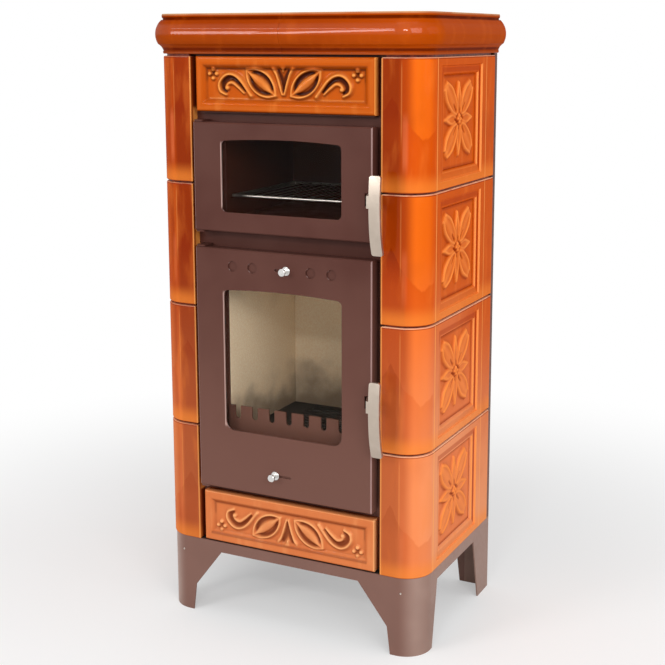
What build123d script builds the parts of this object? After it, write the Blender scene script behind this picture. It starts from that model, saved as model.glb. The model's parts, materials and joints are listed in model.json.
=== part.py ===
from build123d import *
import os

# A wood stove with an oven, clad in glazed tiles on a folded steel base.
# Millimetres. +Z is up, the doors face -Y, and the origin is the centre of the
# footprint on the floor. Depths are given from the front faces of the tiles.

# ---------------------------------------------------------------- driving sizes
# Mantle of tiles
mantle_width = 530.0
mantle_depth = 330.0
mantle_radius = 50.0
tile_courses = 4
tile_height = 222.75
tile_joint = 3.0
tile_return = 79.0            # width of a corner tile seen from the front
tile_front_rim = 20.0         # depth of its front leg
tile_side_rim = 30.0          # depth of its side leg
tile_wall = 9.0
tile_edge_round = 2.5
panel_front = 70.0            # recessed panel on the side face, from the tile front
panel_rear_margin = 65.0      # and from the mantle's rear
panel_margin = 14.0           # above and below the panel
panel_step = 3.0
panel_taper = 20.0            # slopes of the two steps, degrees
panel_inner_taper = 30.0
panel_inner_margin = 14.0
panel_depth = 8.0
joint_recess = 6.0            # joint cords lie this far behind the glaze
joint_cord = 8.0              # their width

# Relief tiles above and below the doors
front_gap = 11.0              # relief tiles and doors to the corner tiles
relief_height = 96.0
relief_border = 9.0
relief_taper = 40.0           # slope of the sunk field's sides, degrees
relief_depth = 6.0
relief_top_gap = 0.0          # the upper one ends level with the corner tiles
relief_base_gap = 3.0         # the lower one stands this far above the base

# Crown moulding and cover plate
crown_gap = 4.0
crown_height = 70.0
crown_reach = 14.2
crown_wall = 12.0
crown_inner_round = 5.0       # corner of the top's inner edge
crown_ledge = 4.0
crown_seam = 0.5
crown_bead = 5.3              # height of the bead at its foot
crown_bead_reach = 0.9
crown_cove = 17.0             # top of the cove and how far it flares
crown_cove_reach = 9.6
crown_belly = 31.0            # height of the widest point of the roll
crown_lip = 7.3               # height of the lip above the quirk
crown_roll_reach = 3.0
crown_quirk = 3.2             # narrow channel between roll and lip
crown_lip_reach = 2.0
crown_lip_inset = 1.0
frame_tuck = 10.0             # the face frame runs up behind the crown by this
cover_sheet = 3.0
cover_clearance = 0.5

# Base
base_height = 146.0
base_inset = 2.0
base_sheet = 2.5
floor_plate = 3.0
skirt_band = 20.0             # skirt above the gap between the front legs
leg_top = 121.0               # width of a leg at the top of the gap,
leg_knee = 64.0               # at its knee
leg_foot = 57.5               # and on the floor
leg_knee_height = 52.0
side_band = 23.0
front_leg_top = 80.0          # legs seen from the side, from the tile faces
front_leg_foot = 57.0
rear_leg_top = 83.0           # and from the back
rear_leg_foot = 55.0

# Steel body
casing_gap = 1.0              # mantle to the rear casing
casing_sheet = 2.0
casing_wall = 16.0
frame_sheet = 2.5
frame_side_gap = 1.0
smoke_sheet = 3.0
smoke_rear_gap = 41.0         # back wall of the smoke chamber to the rear face
smoke_top_gap = 16.0          # its roof below the mantle's top
collar_radius = 59.5
collar_wall = 2.0
collar_shoulder = 1.5         # thicker as far as the casing, where the pipe stops
collar_drop = 101.0           # its middle below the mantle's top
collar_reach = 48.0
collar_flange = 14.0
collar_gap = 3.5

# Openings in the face frame
mouth_inset = 11.0            # sides of the mouths inside the door's rib
oven_mouth_margin = 21.0      # oven mouth inside the oven door, top and bottom
fire_mouth_margin = 24.0      # top of the fire mouth below the fire door's top
ash_mouth_margin = 27.5       # ash mouth above the fire door's foot
ash_mouth_height = 50.0
mouth_bridge = 12.0           # ash mouth to fire mouth
mouth_round = 2.0
tile_ledge = 12.0             # ledges under the relief tiles
tile_ledge_sheet = 2.5
tile_ledge_inset = 5.0

# Inside
hearth_thickness = 10.0
shelf_width = 10.0            # ledges on the walls that carry the hearth plate
shelf_thickness = 6.0
lining_clearance = 0.5
grate_width = 171.0
grate_depth = 171.0
grate_thickness = 6.0
grate_rear_gap = 17.0         # grate to the back brick
grate_slots = 9
grate_slot = 9.0
grate_round = 3.0
grate_border = 10.0           # bars' ends to the grate's edge
grate_lap = 5.0               # the grate rests this far on its rebate
grate_fit = 0.5
brick = 30.0
brick_inset = 1.5             # side bricks outside the mouth
brick_height = 290.0
brick_chamfer = 1.5
brick_gap = 4.0               # side bricks to the face frame
baffle_thickness = 20.0
baffle_front = 90.0
baffle_chamfer = 2.0
guard_front = 12.0
guard_sheet = 3.0
guard_height = 64.5
guard_foot = 33.0
guard_slots = 7
guard_end = 13.65             # plain ends beside the outer slots
guard_slot = 11.5
guard_slot_depth = 24.0
oven_sheet = 2.0
oven_passage = 31.5           # smoke's way down behind the oven
runner_rise = 36.0            # runners above the oven's floor
runner_width = 8.0
runner_inset = 8.0            # runners and rack to the face frame
rack_clearance = 3.0
rack_inset = 14.0
rack_rear_gap = 6.0
rack_rod = 5.0
rack_wire = 3.0
rack_wires = 11
ash_rear_gap = 21.0           # drawer to the back wall
ash_height = 44.0
ash_sheet = 1.5
ash_round = 4.0
ash_pull_width = 70.0
ash_pull_reach = 12.0
ash_pull_round = 6.0
ash_pull_sheet = 2.0
mouth_clearance = 2.0         # log guard and ash drawer to the sides of their mouths

# Doors
door_front = 12.0             # door face in front of the tile faces
door_depth = 24.0
door_sheet = 3.0
door_bevel = 2.0
oven_door_height = 193.0
oven_door_gap = 18.0          # oven door below the upper relief tile
doors_gap = 31.0              # between the two doors
fire_door_gap = 15.5          # fire door above the lower relief tile
rib_set_back = 25.0           # stiffening rib inside a door, from its side edges
rib_width = 12.0
rib_round = 8.0
rib_inner_round = 4.0
rib_margin = 4.0              # rib to door edge wall, top and bottom
fire_rib_margin = 11.5
seal_width = 10.0
seal_bevel = 3.0
seal_clearance = 0.3
glass_side_gap = 12.0         # panes to the rib at the sides,
glass_foot_gap = 8.0          # the oven's pane at the foot
glass_top_gap = 0.4           # and at the top
fire_glass_gap = 16.6         # the fire's pane below the air slide's guide
fire_window_sill = 113.5      # fire window above the door's foot
window_rise = 4.6             # rise of the arched upper edges
window_round = 9.0
fire_window_foot_round = 18.0
glass_lap = 8.0
glass_thickness = 5.0
glass_round = 3.0
clip_width = 14.0
clip_lap = 6.0
clip_sheet = 1.5
clip_places = (0.25, 0.75)    # shares of the pane's height
clip_clearance = 1.0          # to the rib

# Hinges and latches
hinge_edge = 8.0              # pins inside the door's left edge
hinge_pin = 3.0
hinge_running = 0.05
hinge_reach = 9.0             # plate edges from the pin
hinge_round = 5.0
hinge_entry = 12.0            # how far the pin enters the door
hinge_plate = 3.0
hinge_gap = 0.5
latch_edge = 6.5              # pivot inside the door's right edge
latch_y = 3.0                 # latch pivot in front of the tile faces
latch_pin = 2.0
latch_hub = 4.5
latch_ear = 3.0
latch_ear_depth = 12.0
latch_block = 21.0
latch_gap = 0.8
notch_reach = 7.0             # notch inwards of the pivot
keeper_reach = 14.5           # keeper inwards of the pivot
keeper_pin = 3.0
keeper_set_forward = 6.0      # keeper in front of the claw's rear
keeper_gap = 0.4
claw_thickness = 5.0
claw_gap = 4.0                # claw to the face frame
claw_root = 2.5               # claw's outer and inner flanks, from the pivot
claw_throat = 4.0
claw_rake = 1.0

# Handles
handle_reach = 40.0
handle_thickness = 6.0
handle_width = 20.0
handle_offset = 23.0          # middle of the bar outwards of the pivot
handle_length = 135.0
handle_below = 91.0           # lower end to the middle of the latch block
oven_latch_drop = 24.5        # latches below the middles of their doors
fire_latch_drop = 23.25
handle_corner = 4.0
handle_top_set_back = 3.5     # the bar bows: its upper end lies this far back,
handle_bend = 43.0            # this far below the latch it starts to curl,
handle_bend_set_back = 2.2
handle_foot_set_back = 13.5   # and its lower end lies this far back
handle_foot_slant = 1.5
arm_neck = 2.5                # inner edge of the arm from the pivot, in the notch
arm_flank = 9.5               # outer edge there
arm_inner = 15.5              # edges of the arm's pad from the middle of the bar
arm_outer = 6.5
arm_outer_foot = 4.0
arm_bite = 3.0                # how deep the arm runs into the bar

# Air slides
air_hole_radius = 9.5
air_hole_side = 39.5          # outer holes' middles to the rib
air_hole_pitch = 40.5
air_hole_drop = 30.5          # below the door's top
air_overtravel = 0.75         # shut, the slide's holes lie this far past half a pitch
air_sheet = 2.0
air_clearance = 0.2
secondary_knob_x = 10.0
secondary_height = 22.0
primary_travel = 30.0
primary_knob_x = -15.7
primary_knob_rise = 40.5      # above the door's foot
primary_slots = 3
primary_pitch = 60.0
primary_slot = 24.0
primary_leaf_lap = 11.0       # leaf above its knob
primary_slot_front = 4.0      # slots in front of and behind the tile faces
primary_slot_rear = 6.0
primary_border = 6.0          # slide past its last slot
primary_edge = 2.0
secondary_border = 5.0
guide_lap = 3.0
guide_sheet = 1.5
guide_foot = 4.0
guide_gap = 0.3
guide_overrun = 15.0
guide_end_gap = 4.0
channel_gap = 1.0             # slide to the sides of its channel in the rib
knob_stem = 2.0
knob_flange = 8.0
knob_flange_thickness = 2.0
knob_neck = 4.0
knob_edge = 0.8
knob_head = 6.7
knob_length = 17.0
knob_head_thickness = 4.0
knob_clearance = 0.3

# ---------------------------------------------------------------- derived sizes
body_depth = mantle_depth + casing_gap + casing_wall
overall_depth = handle_reach + body_depth + collar_reach
tile_face = handle_reach - overall_depth / 2
mantle_rear = tile_face + mantle_depth
body_rear = tile_face + body_depth
frame_front = tile_face + tile_front_rim
frame_back = frame_front + frame_sheet
smoke_back = body_rear - smoke_rear_gap
door_face = tile_face - door_front
door_inside = door_face + door_sheet
door_back = door_face + door_depth
glass_back = door_inside + glass_thickness
guard_face = tile_face + guard_front
hinge_y = tile_face
latch_pivot_y = tile_face - latch_y

half_width = mantle_width / 2
return_x = half_width - tile_return
side_rim_x = half_width - tile_side_rim
door_half = return_x - front_gap
relief_width = 2 * door_half
rib_outer = door_half - rib_set_back
rib_inner = rib_outer - rib_width
half_mouth = rib_inner - mouth_inset
mouth_width = 2 * half_mouth
smoke_inner = half_mouth + brick_inset + brick + lining_clearance
pane_half = rib_inner - glass_side_gap
window_width = 2 * (pane_half - glass_lap)
hinge_x = door_half - hinge_edge
latch_x = door_half - latch_edge
notch_inner = latch_x - notch_reach
keeper_x = latch_x - keeper_reach
handle_x = latch_x + handle_offset
air_hole_outer = rib_inner - air_hole_side
air_hole_inner = air_hole_outer - air_hole_pitch
secondary_travel = air_hole_pitch / 2 + air_overtravel

course_pitch = tile_height + tile_joint
course_bottoms = [base_height + i * course_pitch for i in range(tile_courses)]
mantle_top = course_bottoms[-1] + tile_height
crown_bottom = mantle_top + crown_gap
stove_top = crown_bottom + crown_height
crown_shelf = mantle_radius - crown_inner_round
crown_roll = crown_height - crown_lip - crown_quirk
smoke_top = mantle_top - smoke_top_gap
collar_height = mantle_top - collar_drop
collar_bore = collar_radius - collar_wall
shoulder_radius = collar_radius + collar_shoulder

# Front, from the base up: relief tile, fire door, oven door, relief tile.
relief_low_bottom = base_height + relief_base_gap
relief_top_bottom = mantle_top - relief_top_gap - relief_height
fire_door_bottom = relief_low_bottom + relief_height + fire_door_gap
oven_door_top = relief_top_bottom - oven_door_gap
oven_door_bottom = oven_door_top - oven_door_height
fire_door_top = oven_door_bottom - doors_gap
oven_mouth_bottom = oven_door_bottom + oven_mouth_margin
oven_mouth_top = oven_door_top - oven_mouth_margin
ash_mouth_bottom = fire_door_bottom + ash_mouth_margin
ash_mouth_top = ash_mouth_bottom + ash_mouth_height
fire_mouth_bottom = ash_mouth_top + mouth_bridge
fire_mouth_top = fire_door_top - fire_mouth_margin
runner_height = oven_mouth_bottom + runner_rise
air_hole_height = fire_door_top - air_hole_drop
primary_knob_height = fire_door_bottom + primary_knob_rise

past = 1.0                    # cuts run past the faces that they open
PARTS = "parts"
os.makedirs(PARTS, exist_ok=True)


def save(piece, name):
    """Label a finished piece and write it as its own STEP file."""
    piece.label = name
    export_step(piece, f"{PARTS}/{name}.step")


def block(x0, x1, y0, y1, z0, z1, mode=Mode.ADD):
    """A box given by its limits along X, Y and Z."""
    with Locations(((x0 + x1) / 2, (y0 + y1) / 2, (z0 + z1) / 2)):
        Box(abs(x1 - x0), abs(y1 - y0), abs(z1 - z0), mode=mode)


def front_plane(y):
    """A plane seen from the front: local X is +X, local Y is +Z, normal -Y."""
    return Plane(origin=(0, y, 0), x_dir=(1, 0, 0), z_dir=(0, -1, 0))


# ---------------------------------------------------------------- base
skirt_width = mantle_width - 2 * base_inset
skirt_depth = body_depth - base_inset
skirt_middle = tile_face + base_inset + skirt_depth / 2
skirt_half = skirt_width / 2

with BuildPart() as base_skirt:
    with BuildSketch() as skirt_outline:
        with Locations((0, skirt_middle)):
            Rectangle(skirt_width, skirt_depth)
        front_corners = skirt_outline.vertices().group_by(Axis.Y)[0]
        fillet(front_corners, mantle_radius - base_inset)
        offset(amount=-base_sheet, mode=Mode.SUBTRACT)
    extrude(amount=base_height)
    with BuildSketch(front_plane(body_rear)):
        with BuildLine():
            Polyline(
                (leg_foot - skirt_half, -past),
                (leg_knee - skirt_half, leg_knee_height),
                (leg_top - skirt_half, base_height - skirt_band),
                (skirt_half - leg_top, base_height - skirt_band),
                (skirt_half - leg_knee, leg_knee_height),
                (skirt_half - leg_foot, -past),
                close=True,
            )
        make_face()
    extrude(amount=2 * body_depth, both=True, mode=Mode.SUBTRACT)
    with BuildSketch(Plane.YZ):
        with BuildLine():
            Polyline(
                (tile_face + front_leg_foot, -past),
                (tile_face + front_leg_top, base_height - side_band),
                (body_rear - rear_leg_top, base_height - side_band),
                (body_rear - rear_leg_foot, -past),
                close=True,
            )
        make_face()
    extrude(amount=mantle_width, both=True, mode=Mode.SUBTRACT)
save(base_skirt.part, "base_skirt")

with BuildPart() as base_plate:
    with BuildSketch(Plane.XY.offset(base_height - floor_plate)) as plate_outline:
        with Locations((0, skirt_middle)):
            Rectangle(skirt_width, skirt_depth)
        fillet(plate_outline.vertices().group_by(Axis.Y)[0], mantle_radius - base_inset)
        offset(amount=-(base_sheet + seal_clearance), mode=Mode.REPLACE)
    extrude(amount=floor_plate)
save(base_plate.part, "base_plate")

# ---------------------------------------------------------------- corner tiles
panel_bottom = panel_margin
panel_top = tile_height - panel_margin
panel_rear = mantle_depth - panel_rear_margin
panel_middle = tile_face + (panel_front + panel_rear) / 2
panel_width = panel_rear - panel_front
panel_height = panel_top - panel_bottom
panel_backing = tile_wall + panel_depth

with BuildPart() as corner_tile:
    # Plan of a right-hand tile: a rounded front leg and a long side leg.
    with BuildSketch():
        with BuildLine():
            Polyline(
                (half_width, tile_face + mantle_radius),
                (half_width, mantle_rear),
                (side_rim_x, mantle_rear),
                (side_rim_x, frame_front),
                (return_x, frame_front),
                (return_x, tile_face),
                (half_width - mantle_radius, tile_face),
            )
            RadiusArc(
                (half_width - mantle_radius, tile_face),
                (half_width, tile_face + mantle_radius),
                -mantle_radius,
            )
        make_face()
    extrude(amount=tile_height)
    # The glazed face is a shell: the back is hollow between its four rims.
    hollow_front = tile_face + tile_wall
    block(return_x + tile_wall, half_width - mantle_radius, hollow_front, frame_front,
          tile_wall, tile_height - tile_wall, mode=Mode.SUBTRACT)
    block(side_rim_x, half_width - tile_wall, tile_face + mantle_radius,
          mantle_rear - tile_wall, tile_wall, tile_height - tile_wall, mode=Mode.SUBTRACT)
    # The side panel is sunk into the face, so the shell runs deeper behind it.
    block(half_width - panel_backing, half_width - tile_wall,
          tile_face + panel_front - tile_wall / 2, tile_face + panel_rear + tile_wall / 2,
          panel_bottom - tile_wall / 2, panel_top + tile_wall / 2)
    glazed_rims = corner_tile.faces().filter_by(Axis.Z).sort_by(Axis.Z)
    outer_edges = (glazed_rims[0].outer_wire().edges() + glazed_rims[-1].outer_wire().edges())
    rounded = ShapeList()
    for edge in outer_edges:
        middle = edge @ 0.5
        if middle.Y < min(tile_face + mantle_radius / 2, frame_front - past):
            rounded.append(edge)
        elif middle.X > half_width - tile_edge_round:
            rounded.append(edge)
    fillet(rounded, tile_edge_round)
    with BuildSketch(Plane(origin=(half_width, panel_middle, tile_height / 2),
                           x_dir=(0, 1, 0), z_dir=(1, 0, 0))):
        Rectangle(panel_width, panel_height)
    extrude(amount=-panel_step, mode=Mode.SUBTRACT, taper=panel_taper)
    with BuildSketch(Plane(origin=(half_width - panel_step, panel_middle, tile_height / 2),
                           x_dir=(0, 1, 0), z_dir=(1, 0, 0))):
        Rectangle(panel_width - 2 * panel_inner_margin, panel_height - 2 * panel_inner_margin)
    extrude(amount=-(panel_depth - panel_step), mode=Mode.SUBTRACT, taper=panel_inner_taper)

for course, bottom in enumerate(course_bottoms, start=1):
    with BuildPart() as right_tile:
        add(corner_tile.part.moved(Location((0, 0, bottom))))
    save(right_tile.part, f"corner_tile_right_{course}")
    with BuildPart() as left_tile:
        mirror(right_tile.part, about=Plane.YZ)
    save(left_tile.part, f"corner_tile_left_{course}")

# Cords lie in the horizontal joints, set back from the glaze, and carry the tiles.
cord_front = tile_face + joint_recess
cord_side = half_width - joint_recess
cord_radius = mantle_radius - joint_recess
cord_levels = [(bottom + tile_height, tile_joint) for bottom in course_bottoms[:-1]]
cord_levels.append((mantle_top, crown_gap))

with BuildPart() as joint_cords_right:
    for level, thickness in cord_levels:
        with BuildSketch(Plane.XY.offset(level)):
            with BuildLine():
                Polyline(
                    (cord_side, tile_face + mantle_radius),
                    (cord_side, mantle_rear - joint_recess),
                    (cord_side - joint_cord, mantle_rear - joint_recess),
                    (cord_side - joint_cord, tile_face + mantle_radius),
                )
                RadiusArc(
                    (cord_side - joint_cord, tile_face + mantle_radius),
                    (half_width - mantle_radius, cord_front + joint_cord),
                    cord_radius - joint_cord,
                )
                Polyline(
                    (half_width - mantle_radius, cord_front + joint_cord),
                    (return_x + joint_recess, cord_front + joint_cord),
                    (return_x + joint_recess, cord_front),
                    (half_width - mantle_radius, cord_front),
                )
                RadiusArc(
                    (half_width - mantle_radius, cord_front),
                    (cord_side, tile_face + mantle_radius),
                    -cord_radius,
                )
            make_face()
        extrude(amount=thickness)
save(joint_cords_right.part, "joint_cords_right")

with BuildPart() as joint_cords_left:
    mirror(joint_cords_right.part, about=Plane.YZ)
save(joint_cords_left.part, "joint_cords_left")

# ---------------------------------------------------------------- relief tiles
relief_field_width = relief_width - 2 * relief_border
relief_field_height = relief_height - 2 * relief_border

for name, bottom in (("relief_tile_top", relief_top_bottom),
                     ("relief_tile_bottom", relief_low_bottom)):
    with BuildPart() as relief_tile:
        block(-relief_width / 2, relief_width / 2, tile_face, frame_front,
              bottom, bottom + relief_height)
        front_edges = relief_tile.faces().sort_by(Axis.Y)[0].edges()
        fillet(front_edges, tile_edge_round)
        with BuildSketch(front_plane(tile_face)):
            with Locations((0, bottom + relief_height / 2)):
                Rectangle(relief_field_width, relief_field_height)
        extrude(amount=-relief_depth, mode=Mode.SUBTRACT, taper=relief_taper)
        block(-relief_field_width / 2, relief_field_width / 2,
              tile_face + relief_depth + tile_wall, frame_front,
              bottom + relief_border, bottom + relief_height - relief_border,
              mode=Mode.SUBTRACT)
    save(relief_tile.part, name)

# ---------------------------------------------------------------- crown
with BuildPart() as crown_right:
    with BuildLine() as crown_path:
        Line((half_width, body_rear, crown_bottom),
             (half_width, tile_face + mantle_radius, crown_bottom))
        Line((half_width - mantle_radius, tile_face, crown_bottom),
             (crown_seam / 2, tile_face, crown_bottom))
        with BuildLine(Plane.XY.offset(crown_bottom)):
            RadiusArc(
                (half_width, tile_face + mantle_radius),
                (half_width - mantle_radius, tile_face),
                mantle_radius,
            )
    # Profile: bead, cove, roll, quirk and rounded lip; X runs outwards.
    lip_bottom = crown_roll + crown_quirk
    lip_middle = (lip_bottom + crown_height) / 2
    cove_middle = (crown_cove_reach * 0.38, (crown_bead + crown_cove) / 2 + 1)
    crown_start = Plane(origin=(half_width, body_rear, crown_bottom),
                        x_dir=(1, 0, 0), z_dir=(0, -1, 0))
    with BuildSketch(crown_start):
        with BuildLine():
            ThreePointArc((0, 0), (crown_bead_reach, crown_bead / 2), (0, crown_bead))
            ThreePointArc((0, crown_bead), cove_middle, (crown_cove_reach, crown_cove))
            ThreePointArc((crown_cove_reach, crown_cove), (crown_reach, crown_belly),
                          (crown_roll_reach, crown_roll))
            Polyline((crown_roll_reach, crown_roll), (0, crown_roll), (0, lip_bottom),
                     (crown_lip_inset, lip_bottom))
            ThreePointArc((crown_lip_inset, lip_bottom), (crown_lip_reach, lip_middle),
                          (crown_lip_inset, crown_height))
            Polyline(
                (crown_lip_inset, crown_height),
                (-crown_shelf, crown_height),
                (-crown_shelf, crown_height - crown_wall),
                (-crown_shelf - crown_ledge, crown_height - crown_wall),
                (-crown_shelf - crown_ledge, crown_height - crown_wall - crown_ledge),
                (-crown_wall, crown_height - crown_wall - crown_ledge),
                (-crown_wall, 0),
                (0, 0),
            )
        make_face()
    sweep(path=crown_path.wire())
save(crown_right.part, "crown_right")

with BuildPart() as crown_left:
    mirror(crown_right.part, about=Plane.YZ)
save(crown_left.part, "crown_left")

cover_half = half_width - crown_shelf - cover_clearance
cover_front = tile_face + crown_shelf + cover_clearance
cover_bottom = stove_top - crown_wall
cover_rear_half = half_width - crown_shelf - crown_ledge - cover_clearance
cover_apron_half = half_width - crown_wall - cover_clearance
with BuildPart() as cover_plate:
    with BuildSketch(Plane.XY.offset(cover_bottom)) as cover_outline:
        with Locations((0, (cover_front + body_rear) / 2)):
            Rectangle(2 * cover_half, body_rear - cover_front)
        fillet(cover_outline.vertices().group_by(Axis.Y)[0], mantle_radius - crown_shelf)
    extrude(amount=cover_sheet)
    # The sheet turns down at the rear and closes the space behind the crown.
    block(-cover_rear_half, cover_rear_half, body_rear - cover_sheet, body_rear,
          crown_bottom, cover_bottom)
    block(-cover_apron_half, cover_apron_half, body_rear - cover_sheet, body_rear,
          crown_bottom, cover_bottom - crown_ledge - cover_clearance)
save(cover_plate.part, "cover_plate")

# ---------------------------------------------------------------- face frame
mouths = (
    (oven_mouth_bottom, oven_mouth_top),
    (fire_mouth_bottom, fire_mouth_top),
    (ash_mouth_bottom, ash_mouth_top),
)
frame_top = crown_bottom + frame_tuck
with BuildPart() as face_frame:
    with BuildSketch(front_plane(frame_back)):
        with Locations((0, (base_height + frame_top) / 2)):
            Rectangle(2 * (side_rim_x - frame_side_gap), frame_top - base_height)
        for low, high in mouths:
            with Locations((0, (low + high) / 2)):
                RectangleRounded(mouth_width, high - low, mouth_round, mode=Mode.SUBTRACT)
    extrude(amount=frame_sheet)
    ledge_half = relief_width / 2 - tile_ledge_inset
    for low in (relief_top_bottom, relief_low_bottom):
        shelf = tile_ledge_sheet if low > fire_mouth_top else relief_base_gap
        block(-ledge_half, ledge_half, frame_front - tile_ledge,
              frame_front, low - shelf, low)
save(face_frame.part, "face_frame")

# ---------------------------------------------------------------- steel body
hearth_top = fire_mouth_bottom
hearth_bottom = hearth_top - hearth_thickness
for name, side in (("smoke_wall_right", 1), ("smoke_wall_left", -1)):
    with BuildPart() as smoke_wall:
        block(side * smoke_inner, side * (smoke_inner + smoke_sheet), frame_back, smoke_back,
              base_height, smoke_top)
        block(side * (smoke_inner - shelf_width), side * smoke_inner, frame_back,
              smoke_back - smoke_sheet, hearth_bottom - shelf_thickness, hearth_bottom)
    save(smoke_wall.part, name)

with BuildPart() as smoke_back_wall:
    block(-smoke_inner, smoke_inner, smoke_back - smoke_sheet, smoke_back,
          base_height, smoke_top)
    with BuildSketch(front_plane(smoke_back)):
        with Locations((0, collar_height)):
            Circle(shoulder_radius)
    extrude(amount=2 * smoke_sheet, both=True, mode=Mode.SUBTRACT)
save(smoke_back_wall.part, "smoke_wall_back")

with BuildPart() as smoke_roof:
    block(-smoke_inner, smoke_inner, frame_back, smoke_back - smoke_sheet,
          smoke_top - smoke_sheet, smoke_top)
save(smoke_roof.part, "smoke_roof")

with BuildPart() as ash_floor:
    block(-smoke_inner, smoke_inner, frame_back, smoke_back - smoke_sheet,
          ash_mouth_bottom - smoke_sheet, ash_mouth_bottom)
save(ash_floor.part, "ash_floor")

with BuildPart() as flue_collar:
    with BuildSketch(front_plane(body_rear + collar_reach)):
        with Locations((0, collar_height)):
            Circle(collar_radius)
            Circle(collar_bore, mode=Mode.SUBTRACT)
    extrude(amount=collar_reach)
    with BuildSketch(front_plane(body_rear)):
        with Locations((0, collar_height)):
            Circle(shoulder_radius)
            Circle(collar_bore, mode=Mode.SUBTRACT)
    extrude(amount=body_rear - smoke_back + smoke_sheet)
    with BuildSketch(front_plane(smoke_back + frame_sheet)):
        with Locations((0, collar_height)):
            Circle(shoulder_radius + collar_flange)
            Circle(collar_bore, mode=Mode.SUBTRACT)
    extrude(amount=frame_sheet)
save(flue_collar.part, "flue_collar")

with BuildPart() as rear_casing:
    casing_half = half_width - base_inset
    block(-casing_half, casing_half, body_rear - casing_sheet, body_rear,
          base_height, crown_bottom - seal_clearance)
    for side in (1, -1):
        block(side * (casing_half - casing_sheet), side * casing_half,
              body_rear - casing_wall, body_rear, base_height,
              crown_bottom - seal_clearance)
    with BuildSketch(front_plane(body_rear)):
        with Locations((0, collar_height)):
            Circle(collar_radius + collar_gap)
    extrude(amount=2 * casing_sheet, both=True, mode=Mode.SUBTRACT)
save(rear_casing.part, "rear_casing")

# ---------------------------------------------------------------- fire chamber
chamber_half = smoke_inner - lining_clearance
chamber_back = smoke_back - smoke_sheet - lining_clearance
grate_middle = chamber_back - brick - grate_rear_gap - grate_depth / 2
with BuildPart() as hearth_plate:
    block(-chamber_half, chamber_half, frame_back + lining_clearance, chamber_back,
          hearth_bottom, hearth_top)
    with Locations((0, grate_middle, hearth_top - grate_thickness / 2)):
        Box(grate_width + 2 * grate_fit, grate_depth + 2 * grate_fit, grate_thickness,
            mode=Mode.SUBTRACT)
    with Locations((0, grate_middle, hearth_top - hearth_thickness / 2)):
        Box(grate_width - 2 * grate_lap, grate_depth - 2 * grate_lap, hearth_thickness,
            mode=Mode.SUBTRACT)
save(hearth_plate.part, "hearth_plate")

with BuildPart() as grate:
    with BuildSketch(Plane.XY.offset(hearth_top - grate_thickness)):
        with Locations((0, grate_middle)):
            RectangleRounded(grate_width, grate_depth, grate_round)
            slot_pitch = (grate_depth - grate_border - grate_slot) / (grate_slots - 1)
            with GridLocations(0, slot_pitch, 1, grate_slots):
                SlotOverall(grate_width - 2 * grate_border, grate_slot, mode=Mode.SUBTRACT)
    extrude(amount=grate_thickness)
save(grate.part, "grate")

brick_front = frame_back + brick_gap
for name, side in (("firebrick_right", 1), ("firebrick_left", -1)):
    with BuildPart() as side_brick:
        block(side * (chamber_half - brick), side * chamber_half, brick_front, chamber_back,
              hearth_top, hearth_top + brick_height)
        chamfer(side_brick.edges().filter_by(Axis.Z), brick_chamfer)
    save(side_brick.part, name)

with BuildPart() as firebrick_back:
    block(-(chamber_half - brick), chamber_half - brick, chamber_back - brick, chamber_back,
          hearth_top, hearth_top + brick_height)
    chamfer(firebrick_back.edges().filter_by(Axis.Z), brick_chamfer)
save(firebrick_back.part, "firebrick_back")

with BuildPart() as baffle:
    block(-chamber_half, chamber_half, tile_face + baffle_front, chamber_back,
          hearth_top + brick_height, hearth_top + brick_height + baffle_thickness)
    chamfer(baffle.edges().filter_by(Axis.X), baffle_chamfer)
save(baffle.part, "baffle")

guard_half = half_mouth - mouth_clearance
guard_pitch = (2 * (guard_half - guard_end) - guard_slot) / (guard_slots - 1)
with BuildPart() as log_guard:
    with BuildSketch(front_plane(guard_face + guard_sheet)):
        with Locations((0, hearth_top + guard_height / 2)):
            Rectangle(2 * guard_half, guard_height)
        guard_top = hearth_top + guard_height
        with Locations((0, guard_top - (guard_slot_depth - guard_slot / 2) / 2)):
            with GridLocations(guard_pitch, 0, guard_slots, 1):
                Rectangle(guard_slot, guard_slot_depth - guard_slot / 2, mode=Mode.SUBTRACT)
        with Locations((0, guard_top - guard_slot_depth + guard_slot / 2)):
            with GridLocations(guard_pitch, 0, guard_slots, 1):
                Circle(guard_slot / 2, mode=Mode.SUBTRACT)
    extrude(amount=guard_sheet)
    block(-guard_half, guard_half, guard_face, guard_face + guard_foot,
          hearth_top, hearth_top + guard_sheet)
save(log_guard.part, "log_guard")

ash_half = half_mouth - mouth_clearance
ash_depth = smoke_back - smoke_sheet - ash_rear_gap - frame_front
ash_bottom = ash_mouth_bottom + seal_clearance
with BuildPart() as ash_drawer:
    with BuildSketch(Plane.XY.offset(ash_bottom)):
        with Locations((0, frame_front + ash_depth / 2)):
            RectangleRounded(2 * ash_half, ash_depth, ash_round)
    extrude(amount=ash_height)
    drawer_top = ash_drawer.faces().sort_by(Axis.Z)[-1]
    offset(amount=-ash_sheet, openings=drawer_top)
    # A rounded pull plate stands out of the middle of the front.
    with BuildSketch(Plane.XY.offset(ash_bottom + ash_height / 2)) as pull:
        with Locations((0, frame_front - ash_pull_reach / 2)):
            Rectangle(ash_pull_width, ash_pull_reach)
        fillet(pull.vertices().group_by(Axis.Y)[0], ash_pull_round)
    extrude(amount=ash_pull_sheet)
save(ash_drawer.part, "ash_drawer")

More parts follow.
